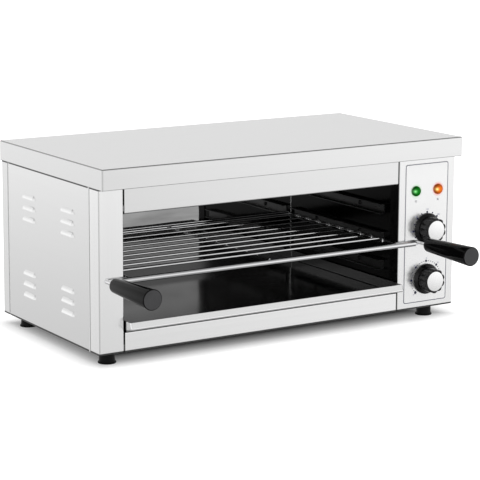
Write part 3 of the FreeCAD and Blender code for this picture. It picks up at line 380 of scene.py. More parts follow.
def cut_away(shape, tool):
    """Mesh with another one cut out of it."""
    for part in (shape, tool):
        build = bmesh.new()
        build.from_mesh(part)
        bmesh.ops.recalc_face_normals(build, faces=build.faces)
        build.to_mesh(part)
        build.free()
    thing, cutter = linked("draft", shape), linked("cutter", tool)
    cut = thing.modifiers.new("cut", "BOOLEAN")
    cut.object = cutter
    cut.operation = "DIFFERENCE"
    cut.solver = "EXACT"
    cut.use_self = True
    shape = evaluated(thing)
    bpy.data.objects.remove(cutter)
    return shape


def word(text, height, centre, level, thickness):
    """Mesh of a word that faces the front, centred on an (x, z) place."""
    line = bpy.data.curves.new("word", "FONT")
    line.body = text
    line.size = height * FONT_SIZE
    line.align_x, line.align_y = "CENTER", "CENTER"
    line.extrude = thickness / 2
    line.resolution_u = 3
    shape = evaluated(linked("word", line))
    shape.transform(Matrix.Translation((centre[0], level - thickness / 2, centre[1]))
                    @ Matrix.Rotation(math.pi / 2, 4, "X"))
    return shape


def placed(thing, body, node=None, mirrored=True):
    """Let a piece ride on a body, stand for a CAD node and show in mirrors or not."""
    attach(thing, body)
    if node:
        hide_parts(node)
    thing.visible_glossy = mirrored


# Geometry Nodes

class Tree:
    """Node tree being built, with short calls for adding nodes and giving their inputs."""

    def __init__(self, tree):
        self.tree = tree

    def add(self, kind, inputs=(), **settings):
        node = self.tree.nodes.new(kind)
        for name, value in settings.items():
            setattr(node, name, value)
        for name, value in dict(inputs).items():
            self.give(node.inputs[name], value)
        return node

    def make(self, kind, inputs=(), **settings):
        """First output of a new node."""
        return self.add(kind, inputs, **settings).outputs[0]

    def give(self, socket, value):
        if isinstance(value, bpy.types.NodeSocket):
            self.tree.links.new(value, socket)
        else:
            socket.default_value = value

    def maths(self, kind, *values):
        """Result of one step of arithmetic."""
        return self.make("ShaderNodeMath", dict(enumerate(values)), operation=kind)

    def vector(self, kind, *values):
        """Result of one step with vectors, a number for a length or a dot product."""
        node = self.add("ShaderNodeVectorMath", dict(enumerate(values)), operation=kind)
        return node.outputs["Value" if kind in ("LENGTH", "DOT_PRODUCT") else "Vector"]

    def largest(self, values):
        """Largest of several numbers."""
        total = values[0]
        for value in values[1:]:
            total = self.maths("MAXIMUM", total, value)
        return total


def growing(name, inputs, build):
    """Geometry tree with named inputs, which ends in plain geometry of one finish."""
    group = bpy.data.node_groups.new(name, "GeometryNodeTree")
    group.interface.new_socket("Geometry", in_out="INPUT", socket_type="NodeSocketGeometry")
    for label, kind, value in inputs:
        group.interface.new_socket(label, in_out="INPUT", socket_type="NodeSocket" + kind).default_value = value
    group.interface.new_socket("Finish", in_out="INPUT", socket_type="NodeSocketMaterial")
    group.interface.new_socket("Geometry", in_out="OUTPUT", socket_type="NodeSocketGeometry")
    tree = Tree(group)
    given = tree.add("NodeGroupInput").outputs
    plain = tree.make("GeometryNodeRealizeInstances", {"Geometry": build(tree, given)})
    painted = tree.make("GeometryNodeSetMaterial", {"Geometry": plain, "Material": given["Finish"]})
    tree.add("NodeGroupOutput", {"Geometry": painted})
    return group


def grown(source, group, values):
    """Mesh that a tree makes from an object, which is then removed."""
    modifier = source.modifiers.new(group.name, "NODES")
    modifier.node_group = group
    for item in group.interface.items_tree:
        if item.in_out == "INPUT" and item.name in values:
            modifier[item.identifier] = values[item.name]
    return evaluated(source)


def copies(tree, points, piece, turn=(0, 0, 0)):
    """Copies of a piece on points."""
    return tree.make("GeometryNodeInstanceOnPoints", {"Points": points, "Instance": piece, "Rotation": turn})


def bent_wires():
    """Tree: a route with rounded corners, thickened and repeated back from the front."""
    def build(tree, given):
        bent = tree.make("GeometryNodeFilletCurve", {"Curve": given["Geometry"], "Radius": given["Bend radius"],
                                                     "Count": 10}, mode="POLY")
        section = tree.make("GeometryNodeCurvePrimitiveCircle", {
            "Resolution": given["Sides"], "Radius": tree.maths("MULTIPLY", given["Diameter"], 0.5)})
        solid = tree.make("GeometryNodeCurveToMesh", {"Curve": bent, "Profile Curve": section, "Fill Caps": True})
        step = tree.make("ShaderNodeCombineXYZ", {"Y": given["Pitch"]})
        places = tree.make("GeometryNodeMeshLine", {"Count": given["Count"], "Offset": step})
        return copies(tree, places, solid)
    inputs = [("Diameter", "Float", 0.0035), ("Bend radius", "Float", 0.0035), ("Sides", "Int", 20),
              ("Count", "Int", 1), ("Pitch", "Float", 0.0)]
    return growing("bent_wires", inputs, build)


def ring_of_marks():
    """Tree: round marks at even angles on a ring that faces the front."""
    def build(tree, given):
        turn = tree.maths("MULTIPLY_ADD", tree.make("GeometryNodeInputIndex"), given["Step"], given["Start"])
        across, up = (tree.maths("MULTIPLY", tree.maths(kind, turn), given["Ring radius"])
                      for kind in ("SINE", "COSINE"))
        place = tree.vector("ADD", tree.make("ShaderNodeCombineXYZ", {"X": across, "Z": up}), given["Centre"])
        line = tree.make("GeometryNodeMeshLine", {"Count": given["Count"]})
        ring = tree.make("GeometryNodeSetPosition", {"Geometry": line, "Position": place})
        dot = tree.make("GeometryNodeMeshCylinder", {"Vertices": 16, "Radius": given["Mark radius"],
                                                     "Depth": given["Thickness"]})
        return copies(tree, ring, dot, (math.pi / 2, 0, 0))
    inputs = [("Centre", "Vector", (0, 0, 0)), ("Ring radius", "Float", 0.025), ("Count", "Int", 7),
              ("Start", "Float", 0.0), ("Step", "Float", 0.5), ("Mark radius", "Float", 0.0006),
              ("Thickness", "Float", 0.00008)]
    return growing("ring_of_marks", inputs, build)


def grid_of_copies():
    """Tree: copies of one piece on a grid, turned to face one way."""
    def build(tree, given):
        rows = tree.make("GeometryNodeMeshLine", {"Count": given["Rows"], "Start Location": given["First"],
                                                  "Offset": given["Row step"]})
        columns = tree.make("GeometryNodeMeshLine", {"Count": given["Columns"], "Offset": given["Column step"]})
        spots = tree.make("GeometryNodeRealizeInstances", {"Geometry": copies(tree, rows, columns)})
        return copies(tree, spots, given["Geometry"], given["Turn"])
    inputs = [("First", "Vector", (0, 0, 0)), ("Rows", "Int", 2), ("Row step", "Vector", (0, 0, 0.01)),
              ("Columns", "Int", 2), ("Column step", "Vector", (0, 0.01, 0)), ("Turn", "Vector", (0, 0, 0))]
    return growing("grid_of_copies", inputs, build)


# Finishes

def finish(name, build):
    """Material made once under its name, from the shader inputs that a function returns for its tree."""
    name = "grill_" + name
    material = bpy.data.materials.get(name)
    if material is None:
        material = bpy.data.materials.new(name)
        material.use_nodes = True
        tree = Tree(material.node_tree)
        shader = material.node_tree.nodes["Principled BSDF"]
        for socket, value in build(tree).items():
            tree.give(shader.inputs[socket], value)
    return material


def own_place(tree):
    """Place on the piece, in metres."""
    return tree.add("ShaderNodeTexCoord").outputs["Object"]


def parts_of(tree, vector):
    """X, Y and Z of a vector."""
    return tree.add("ShaderNodeSeparateXYZ", {0: vector}).outputs


def pattern(tree, detail, scale=1.0, stretch=(1, 1, 1)):
    """Noise on the piece's own coordinates, stretched by a factor along each axis."""
    mapped = tree.make("ShaderNodeMapping", {"Vector": own_place(tree), "Scale": stretch})
    return tree.make("ShaderNodeTexNoise", {"Vector": mapped, "Scale": scale, "Detail": detail})


def ranged(tree, value, low, high, start=0.3, stop=0.7):
    """Number moved from one range to another."""
    return tree.make("ShaderNodeMapRange", {"Value": value, "From Min": start, "From Max": stop, "To Min": low,
                                            "To Max": high})


def mixed(tree, value, first, second):
    """First colour where the value is 0 and second colour where it is 1, each a colour or a socket."""
    mix = tree.add("ShaderNodeMix", data_type="RGBA")
    for index, given in ((0, value), (6, first), (7, second)):
        if not isinstance(given, (float, bpy.types.NodeSocket)):
            given = (*given, 1)[:4]
        tree.give(mix.inputs[index], given)
    return mix.outputs[2]


def scaled(colour, factor):
    return tuple(part * factor for part in colour)


def clouded(tree, noise, colour, first=1.0, second=1.0):
    """Colour that a noise moves from one share of itself to another."""
    return mixed(tree, ranged(tree, noise, 0, 1), scaled(colour, first), scaled(colour, second))


def relief(tree, height, depth, strength=1.0):
    """Relief of a depth in metres."""
    return tree.make("ShaderNodeBump", {"Height": height, "Distance": depth, "Strength": strength})


def distance_from(tree, centre, stretch):
    """Distance from a place, in metres, along the axes whose stretch isn't 0."""
    away = tree.vector("SUBTRACT", own_place(tree), centre)
    return tree.vector("LENGTH", tree.vector("MULTIPLY", away, stretch))


def gap_from(tree, value, level):
    """Distance of a number from a level, on either side."""
    return tree.maths("ABSOLUTE", tree.maths("SUBTRACT", value, level))


def in_sight(tree):
    """1 where the camera sees a surface itself, 0 in mirrors and for light."""
    seen = tree.add("ShaderNodeLightPath").outputs
    return tree.maths("MAXIMUM", seen["Is Camera Ray"], seen["Is Transmission Ray"])


def brushed_steel(name, along, light_tone=1.0, foot=1.0, seams=True):
    """Brushed sheet with its grain along one axis, a painted light level that may fall as painted shade towards its
    foot, painted shade in its seams and along its folds, a painted highlight on louvres, and painted shade where it
    faces the grill space."""
    look = bpy.context.scene.grill_finish
    rough, spread = look.steel_roughness, 0.02
    streak_tone, louvre_highlight_tone, grain_depth = 0.88, 1.08, 0.000006

    def build(tree):
        grain, streak = (pattern(tree, detail, stretch=[change[axis != along] for axis in "xyz"])
                         for detail, change in ((3, FINE_GRAIN), (2, BROAD_GRAIN)))
        # Painted light: each sheet's brightness, and its fall towards the foot, stand in for how the light falls on it
        steel = scaled(look.steel_colour, light_tone)
        low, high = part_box("left_side_panel")
        rising = ranged(tree, parts_of(tree, own_place(tree))["Z"], 0, 1, low.z, high.z)
        steel = mixed(tree, rising, scaled(steel, foot), steel)
        steel = mixed(tree, ranged(tree, streak, 0, 0.12), steel, scaled(look.steel_colour, streak_tone))
        # Painted shade in the seams between sheets
        if seams:
            steel = mixed(tree, seam_shade(tree), look.seam_colour, steel)
        steel = mixed(tree, fold_lines(tree, name), steel, look.seam_colour)
        # Painted highlight on the louvres' slanted faces
        if name == "side":
            steel = mixed(tree, pressed_faces(tree), steel, scaled(look.steel_colour, louvre_highlight_tone))
        # Painted shade where the sheet faces the grill space
        if name not in ("rear", "pan"):
            steel = mixed(tree, inside_of_cavity(tree), steel, look.wall_colour)
        return {"Metallic": 1.0, "Base Color": steel, "Roughness": ranged(tree, grain, rough - spread, rough + spread),
                "Normal": relief(tree, grain, grain_depth, 0.4)}
    return finish("brushed_" + name, build)


def pressed_faces(tree):
    """1 on the slanted faces of the louvres pressed out of a side sheet, where a painted highlight lightens them, 0 on
    the flat sheet.
    """
    across = parts_of(tree, tree.add("ShaderNodeNewGeometry").outputs["True Normal"])["X"]
    return ranged(tree, tree.maths("ABSOLUTE", across), 1, 0, 0.985, 0.995)


def seam_shade(tree):
    """Painted shade from ambient occlusion: 0 deep in the seams between sheets and 1 on open faces."""
    closed = tree.add("ShaderNodeAmbientOcclusion", {"Distance": 0.003}, samples=8)
    return ranged(tree, closed.outputs["AO"], 0, 1, 0.3, 0.75)


def fold_lines(tree, sheet):
    """Strength of the painted shade lines along the outer folds and hems of a sheet, and beside its gaps if it has
    any."""
    low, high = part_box("hood_cover")
    post, panel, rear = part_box("left_post"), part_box("left_side_panel"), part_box("rear_panel")
    folds = []
    for x in (low.x, high.x):
        folds += [((x, y, 0), (1, 1, 0), HOOD_CORNER) for y in (low.y, high.y)]
        folds.append(((x, 0, high.z), (1, 0, 1), HOOD_END))
    folds += [((0, y, high.z), (0, 1, 1), HOOD_EDGE) for y in (low.y, high.y)]
    folds += [((x, y, 0), (1, 1, 0), CASING_CORNER) for x in (post[0].x, RIGHT_SKIN) for y in (FRONT, rear[1].y)]
    lines = [ranged(tree, distance_from(tree, place, across), *fade) for place, across, fade in folds]

    # Painted shade beside the gaps: the axis across them, their place, their half width and their strength
    gaps = [("Z", low.z, 0.0005, 0.4), ("Z", low.z - 0.001, 0.0012, 0.95), ("Z", post[0].z + 0.0006, 0.0016, 0.95)]
    if sheet in ("post", "side", "rear"):
        gaps += [("Y", panel[0].y - 0.0020, 0.0007, 0.8), ("Y", panel[1].y + 0.0018, 0.0005, 0.4)]
    if sheet in ("post", "fascia", "rail", "control"):
        gaps += [("X", x, 0.0011, 0.9) for x in (post[1].x + 0.0005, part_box("control_front")[0].x - 0.0005)]
    spot = parts_of(tree, own_place(tree))
    fade = 0.0004
    for axis, place, width, strength in gaps:
        lines.append(ranged(tree, gap_from(tree, spot[axis], place), strength, 0, width, width + fade))
    return tree.largest(lines)


def inside_of_cavity(tree):
    """1 on the folds that face the grill space, where painted shade darkens them, 0 elsewhere."""
    low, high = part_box("cavity_back")
    spot = parts_of(tree, own_place(tree))
    # Axis, and where along it the dark begins and is full
    limits = (("Y", FRONT + 0.0006, FRONT + 0.0012), ("X", low.x - 0.002, low.x - 0.001),
              ("X", high.x + 0.001, high.x - 0.001), ("Z", high.z + 0.001, high.z - 0.001))
    inside = 1.0
    for axis, start, stop in limits:
        inside = tree.maths("MULTIPLY", ranged(tree, spot[axis], 0, 1, start, stop), inside)
    return inside


def slow_waves(tree, depth):
    """Shallow waves of thin pressed sheet."""
    return relief(tree, pattern(tree, 1, stretch=(7, 7, 16)), depth)


def tray_steel():
    """Polished tray with a painted highlight on its nose and painted shade inside the grill, clouded by smudges."""
    look = bpy.context.scene.grill_finish
    nose_highlight_tone, smudge_tone = 1.13, 0.85

    def build(tree):
        smudge = pattern(tree, 5, stretch=(9, 9, 22))
        inner = ranged(tree, parts_of(tree, own_place(tree))["Y"], 0, 1, FRONT - 0.003, FRONT + 0.001)
        dark = clouded(tree, smudge, look.tray_colour, smudge_tone)
        polish = ranged(tree, smudge, 0.10, 0.15)
        # Painted highlight on the nose, and painted shade inside the grill
        return {"Metallic": 1.0, "Base Color": mixed(tree, inner, scaled(look.steel_colour, nose_highlight_tone), dark),
                "Roughness": ranged(tree, inner, look.steel_roughness, polish, 0, 1),
                "Normal": slow_waves(tree, 0.0001)}
    return finish("tray_steel", build)


def polished_steel(name, colour, roughness, wave=0.0001, marks=0.85):
    """Polished sheet with the slow waves of thin pressed metal and the marks of heat."""
    def build(tree):
        smudge = pattern(tree, 5, stretch=(9, 9, 45))
        return {"Metallic": 1.0, "Base Color": clouded(tree, smudge, colour, marks),
                "Roughness": ranged(tree, smudge, roughness, roughness * 1.9), "Normal": slow_waves(tree, wave)}
    return finish(name, build)


def plain_metal(name, colour, roughness, variation=0.08, scale=400):
    """Small metal part with fine cloudy variation."""
    def build(tree):
        cloud = pattern(tree, 3, scale)
        return {"Metallic": 1.0, "Base Color": clouded(tree, cloud, colour, 1 - variation),
                "Roughness": ranged(tree, cloud, roughness * 0.8, roughness * 1.25)}
    return finish(name, build)


def moulded(name, colour, roughness, grain=0.00001, scale=1500, shine=0.5):
    """Moulded plastic or rubber with a fine skin."""
    def build(tree):
        skin = pattern(tree, 2, scale)
        cloud = pattern(tree, 3, 30)
        return {"Base Color": clouded(tree, cloud, colour, 1.0, 1.5), "Specular IOR Level": shine,
                "Roughness": ranged(tree, cloud, roughness * 0.9, roughness * 1.15),
                "Normal": relief(tree, skin, grain, 0.5)}
    return finish(name, build)


def spun_metal(name, colour, centre):
    """Face turned on a lathe, with fine rings about its centre."""
    ring_density = 9000.0

    def build(tree):
        radius = distance_from(tree, centre, (1, 0, 1))
        ring = tree.maths("SINE", tree.maths("MULTIPLY", radius, ring_density))
        cloud = pattern(tree, 3, 300)
        return {"Metallic": 1.0, "Base Color": clouded(tree, cloud, colour, 0.95),
                "Roughness": ranged(tree, cloud, 0.2, 0.28), "Normal": relief(tree, ring, 0.000004, 0.5)}
    return finish(name, build)


def glowing_lens(name, colour, core, centre, strength):
    """Coloured lens lit from behind, darkest at its rim and brightest at a small spot beside its middle."""
    # Place of the spot, the radii between which the lens darkens, and the distances over which the spot fades
    beside, darkening, fading = Vector((-0.0052, 0, 0.0004)), (0.0025, 0.0076), (0.0008, 0.0056)

    def build(tree):
        rim = ranged(tree, distance_from(tree, centre, (1, 0.2, 1)), 1, 0.22, *darkening)
        near = ranged(tree, distance_from(tree, centre + beside, (1, 0.1, 1)), 1, 0, *fading)
        spot = tree.maths("POWER", near, 2.0)
        glow = tree.maths("MULTIPLY", rim, ranged(tree, spot, 0.62, strength, 0, 1))
        return {"Base Color": mixed(tree, rim, scaled(colour, 0.05), scaled(colour, 0.3)),
                "Emission Color": mixed(tree, spot, colour, core), "Emission Strength": glow,
                "Roughness": 0.1, "Specular IOR Level": 0.06}
    return finish(name, build)


def label_film():
    """Satin metal film of the label, with the light of the lamps painted on it as a coloured glow round each lens."""
    look = bpy.context.scene.grill_finish
    halo_reach = 0.0075, 0.0125

    def build(tree):
        cloud = pattern(tree, 3, 120)
        colour = clouded(tree, cloud, look.label_colour, 0.985)
        for lamp, halo in (("green_lamp_lens", (0.55, 0.85, 0.55)), ("amber_lamp_lens", (1.0, 0.30, 0.22))):
            fade = ranged(tree, distance_from(tree, middle(lamp), (1, 0, 1)), 1, 0, *halo_reach)
            colour = mixed(tree, tree.maths("POWER", fade, 2.0), colour, halo)
        return {"Base Color": colour, "Metallic": 0.8, "Roughness": ranged(tree, cloud, 0.2, 0.26)}
    return finish("label_film", build)


def printed(name, colour):
    """Ink on the label."""
    def build(tree):
        return {"Base Color": clouded(tree, pattern(tree, 2, 2500), colour, 1.0, 1.3), "Roughness": 0.45}
    return finish(name, build)


def chrome_wire():
    """Plating of the rack."""
    return plain_metal("chrome_wire", bpy.context.scene.grill_finish.chrome_colour, 0.09, variation=0.04)


def black_plastic():
    """Gloss of the grips and of the other black mouldings."""
    return moulded("black_plastic", bpy.context.scene.grill_finish.plastic_colour, 0.08, shine=0.10)


def bright_fastener():
    """Plating of the casing's screws and of the shafts."""
    return plain_metal("bright_fastener", grey(0.7), 0.22)


def dark_fastener():
    """Heat-darkened plating of the screws inside the grill space."""
    return plain_metal("dark_fastener", grey(0.06), 0.3)


def cad_finishes():
    """Finish of each CAD node, by the start of its name."""
    look = bpy.context.scene.grill_finish
    black, bright = black_plastic(), bright_fastener()
    liner = polished_steel("polished_liner", look.liner_colour, 0.012, wave=0.0003, marks=0.6)
    # Painted light: the brightness given to each brushed sheet below, and the side's fall towards its foot
    side = brushed_steel("side", "y", light_tone=1.06, foot=0.86, seams=False)
    hanger = plain_metal("hanger_steel", grey(0.3), 0.35)
    lamp = moulded("lamp_housing", grey(0.03), 0.4)
    rubber = moulded("black_rubber", look.rubber_colour, 0.4, grain=0.00004, scale=900, shine=0.1)
    return {
        "hood_cover": brushed_steel("hood", "x", 0.97), "front_fascia": brushed_steel("fascia", "x", 0.96),
        "bottom_rail": brushed_steel("rail", "x", 1.1), "left_post": brushed_steel("post", "z", 1.14, foot=0.95),
        "control_front": brushed_steel("control", "z", 1.04), "left_side": side, "right_side": side,
        "rear_panel": brushed_steel("rear", "x", seams=False), "base_pan": brushed_steel("pan", "x", seams=False),
        "cavity_back": liner, "heat_reflector": liner, "crumb_tray": tray_steel(),
        # Painted shade: the liner walls, channels and runners are darkened for the shade inside the grill space
        "cavity_wall": polished_steel("dark_liner", look.wall_colour, 0.06),
        "channel_": polished_steel("channel_steel", scaled(look.wall_colour, 9), 0.25),
        "tray_runner": polished_steel("runner_steel", scaled(look.wall_colour, 4), 0.25),
        "heating_element": plain_metal("element_sheath", (0.12, 0.115, 0.11), 0.42, variation=0.3, scale=200),
        "element_hangers": hanger, "bulb_clips": hanger,
        "element_ferrules": plain_metal("brass_fitting", (0.62, 0.45, 0.18), 0.3),
        "channel_screws": dark_fastener(), "casing_screws": bright, "foot_screws": bright, "foot_front": rubber,
        "foot_rear": rubber, "panel_label": label_film(),
        "thermostat_body": moulded("switch_housing", (0.55, 0.53, 0.48), 0.5),
        "thermostat_bulb": plain_metal("copper_capillary", (0.72, 0.42, 0.27), 0.3),
        "timer_body": moulded("timer_housing", grey(0.12), 0.45),
        "terminal_block": moulded("white_housing", (0.62, 0.61, 0.57), 0.45),
        "thermostat_shaft": bright, "timer_shaft": bright, "green_lamp_body": lamp, "amber_lamp_body": lamp,
        "rack_": chrome_wire(), "gland": black, "grip": black, "thermostat_knob": black, "timer_knob": black,
        "green_lamp_lens": black, "amber_lamp_lens": black,
    }


# Pieces

class GRILL_OT_finishes(Operator):
    """Give every CAD node the finish of the real part"""
    bl_idname = "grill.finishes"
    bl_label = "Finishes"

    def execute(self, context):
        chosen = cad_finishes()
        for name, node in NODES.items():
            starts = [start for start in chosen if name.startswith(start)]
            if not starts:
                raise RuntimeError("no finish for " + name)
            material = chosen[max(starts, key=len)]
            if not node.data.materials:
                node.data.materials.append(material)
            for slot in node.material_slots:
                slot.material = material
        return {"FINISHED"}


class GRILL_OT_rack(Operator):
    """Make the wires of the rack: bent side rods, cross wires, front bar with domed ends, and the welds"""
    bl_idname = "grill.rack"
    bl_label = "Rack"

    def execute(self, context):
        rack = context.scene.grill_rack
        self.chrome = chrome_wire()
        wires = bent_wires()
        rod = {"Diameter": rack.rod_diameter, "Bend radius": rack.rod_bend, "Finish": self.chrome}
        wire = {"Diameter": rack.wire_diameter, "Bend radius": rack.wire_bend, "Finish": self.chrome}
        for side in SIDES:
            self.place("side_rod_" + side, grown(route(self.side_route(side, rack)), wires, rod), "rack_rod_" + side)
        for name, axis, section in (("rear_rod", "x", rod), ("centre_wire", "y", wire)):
            self.place(name, grown(route(ends_along("rack_" + name, axis)), wires, section), "rack_" + name)

        low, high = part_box("rack_wires")
        half = rack.wire_diameter / 2
        first = low.y + half
        pitch = (high.y - half - first) / (rack.wire_count - 1)
        legs = [(low.x + half, low.z), (low.x + half, high.z - half), (high.x - half, high.z - half),
                (high.x - half, low.z)]
        repeat = {**wire, "Count": rack.wire_count, "Pitch": pitch}
        self.place("cross_wires", grown(route([(x, first, z) for x, z in legs]), wires, repeat), "rack_wires")

        low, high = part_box("rack_front_bar")
        radius = (high.z - low.z) / 2
        dome = radius * 0.6
        length = high.x - low.x
        profile = rounded([(0, 0, 0), (0, radius, dome), (length, radius, dome), (length, 0, 0)])
        start = ends_along("rack_front_bar", "x")[0]
        self.place("front_bar", turned(profile, start, X_AXIS, steps=40), "rack_front_bar")
        self.welds(rack, first, pitch)
        return {"FINISHED"}

    def side_route(self, side, rack):
        """Points of a side rod, from its rear end to its stud."""
        low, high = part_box("rack_rod_" + side)
        half = rack.rod_diameter / 2
        inner, outer = (high.x - half, low.x + half) if side == "left" else (low.x + half, high.x - half)
        level = (low.z + high.z) / 2
        bend = FRONT - rack.rod_stand
        return [(inner, high.y, level), (inner, bend, level), (outer, bend, level), (outer, low.y, level)]

    def welds(self, rack, first, pitch):
        """Spots that join the cross wires to the side rods and to the centre wire."""
        low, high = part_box("rack_wires")
        level = middle("rack_rod_left").z
        centre = middle("rack_centre_wire").x
        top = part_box("rack_centre_wire")[1].z
        grid = grid_of_copies()
        spots = []
        for start, rows, across in (((low.x, first, level), 2, high.x - low.x), ((centre, first, top), 1, 0)):
            build = bmesh.new()
            bmesh.ops.create_icosphere(build, subdivisions=2, radius=rack.weld_size)
            values = {"First": start, "Rows": rows, "Row step": (across, 0, 0), "Columns": rack.wire_count,
                      "Column step": (0, pitch, 0), "Finish": self.chrome}
            spots.append(grown(linked("spot", to_mesh(build)), grid, values))
        self.place("rack_welds", joined(spots))

    def place(self, name, shape, node=None):
        placed(finished(name, shape, self.chrome), "rack", node, mirrored=False)


class GRILL_OT_grips(Operator):
    """Make the two turned handles with their satin end faces, painted lighter than the sides as painted light"""
    bl_idname = "grill.grips"
    bl_label = "Grips"

    def execute(self, context):
        grip = context.scene.grill_grip
        bore = grip.bore_diameter / 2
        square_on, end_skin = -0.999, 0.0002
        # Painted light: the satin end faces are a lighter copy of the black plastic
        satin = moulded("satin_plastic_lit", scaled(context.scene.grill_finish.plastic_colour, 14), 0.45, shine=0.35)
        for side in SIDES:
            tip, root = ends_along("grip_" + side, "y")
            length = root.y - tip.y
            profile = rounded([(grip.bore_depth, 0, 0), (grip.bore_depth, bore, 0), (0, bore, 0),
                               (0, grip.root_diameter / 2, grip.root_round),
                               (length, grip.tip_diameter / 2, grip.tip_round), (length, 0, 0)])
            shape = turned(profile, root, -Y_AXIS)
            thing = finished("handle_" + side, shape, black_plastic(), satin)
            for face in shape.polygons:
                face.material_index = int(face.normal.y < square_on and face.center.y < tip.y + end_skin)
            placed(thing, "rack", "grip_" + side, mirrored=False)
        return {"FINISHED"}


class GRILL_OT_knobs(Operator):
    """Make the fluted knobs, their pointers and their spun caps"""
    bl_idname = "grill.knobs"
    bl_label = "Knobs"

    def execute(self, context):
        knob = context.scene.grill_knob
        look = context.scene.grill_finish
        black = moulded("knob_plastic", look.plastic_colour, 0.08, shine=0.3)
        white = printed("pointer_white", grey(0.7))
        for name, rest in (("thermostat", knob.thermostat_off), ("timer", knob.timer_off)):
            face, foot = ends_along(name + "_knob", "y")
            build = bmesh.new()
            build.from_mesh(turned(self.outline(knob, foot.y - face.y), foot, -Y_AXIS, 180, wave=self.flute(knob)))
            count = len(build.faces)
            build.from_mesh(self.pointer(knob, foot, rest))
            build.faces.ensure_lookup_table()
            for side in build.faces[count:]:
                side.material_index = 1
            thing = finished(name + "_dial", to_mesh(build), black, white)
            placed(thing, name + "_knob", name + "_knob")

            low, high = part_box(name + "_knob_cap")
            seat = Vector((foot.x, high.y, foot.z))
            radius, rise = knob.cap_diameter / 2, high.y - low.y
            disc = rounded([(0, 0, 0), (0, radius, 0), (rise, radius, knob.edge_round / 2), (rise, 0, 0)])
            silver = spun_metal(name + "_cap", look.cap_colour, seat)
            thing = finished(name + "_cap_disc", turned(disc, seat, -Y_AXIS), silver)
            placed(thing, name + "_knob", name + "_knob_cap")
        return {"FINISHED"}

    def outline(self, knob, height):
        """Half section of a knob, from the middle of its back to the middle of the cap's seat."""
        grip, skirt = knob.grip_diameter / 2, knob.skirt_diameter / 2
        clearance, rim_round, rings = 0.00015, 0.0005, 8
        seat = knob.cap_diameter / 2 + clearance
        points = rounded([(0, 0, 0), (0, skirt, 0), (knob.skirt_edge, skirt, rim_round),
                          (knob.skirt_height, knob.skirt_top / 2, 0), (knob.skirt_height, grip, 0)])
        run = height - knob.edge_round - knob.skirt_height
        points += [Vector((knob.skirt_height + run * step / rings, grip)) for step in range(1, rings + 1)]
        points += rounded([(height - knob.edge_round, grip, 0), (height, grip, knob.edge_round), (height, seat, 0),
                           (height - knob.cap_seat, seat, 0), (height - knob.cap_seat, 0, 0)])[1:]
        return points

    def flute(self, knob):
        """Depth of the flutes at a height and an angle, none on the skirt and at the cap's seat."""
        rim, run_out = 0.0006, 0.0035

        def depth(along, radius, angle):
            if along <= knob.skirt_height + TINY or radius < knob.cap_diameter / 2 + rim:
                return 0
            rise = min((along - knob.skirt_height) / run_out, 1)
            return knob.flute_depth * rise * (0.5 + 0.5 * math.cos(knob.flute_count * angle)) ** 2
        return depth

    def pointer(self, knob, foot, angle):
        """Raised line on the slope of the skirt, turned clockwise from the top."""
        width, thickness, margin, share = 0.0009, 0.0002, 0.0004, 0.8
        inner = Vector((0, -knob.skirt_height, knob.skirt_top / 2))
        outer = Vector((0, -knob.skirt_edge, knob.skirt_diameter / 2 - margin))
        slope = outer - inner
        lie = Matrix.Translation((inner + outer) / 2) @ slope.normalized().to_track_quat("Z", "Y").to_matrix().to_4x4()
        turn = Matrix.Translation(foot) @ Matrix.Rotation(angle, 4, "Y")
        return slab(width, thickness, slope.length * share, turn @ lie)


class GRILL_OT_lamps(Operator):
    """Make the domed lenses of the two indicator lamps"""
    bl_idname = "grill.lamps"
    bl_label = "Lamps"

    def execute(self, context):
        look = context.scene.grill_finish
        rim_share, rim_round, dome_share, steps = 0.29, 0.0006, 0.96, 14
        for colour, tint, core, strength in (("green", look.green_colour, look.green_core, 1.5),
                                             ("amber", look.amber_colour, look.amber_core, 2.2)):
            node = colour + "_lamp_lens"
            low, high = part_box(node)
            radius, height = (high.x - low.x) / 2, high.y - low.y
            rim = height * rim_share
            dome = rounded([(0, 0, 0), (0, radius, 0), (rim, radius, rim_round)])
            for step in range(1, steps + 1):
                turn = math.pi / 2 * step / steps
                dome.append(Vector((rim + (height - rim) * math.sin(turn), radius * dome_share * math.cos(turn))))
            dome[-1].y = 0
            glass = glowing_lens(colour + "_lens", tint, core, middle(node), strength)
            thing = finished(colour + "_dome", turned(dome, ends_along(node, "y")[1], -Y_AXIS, steps=72), glass)
            placed(thing, "casing", node)
        return {"FINISHED"}


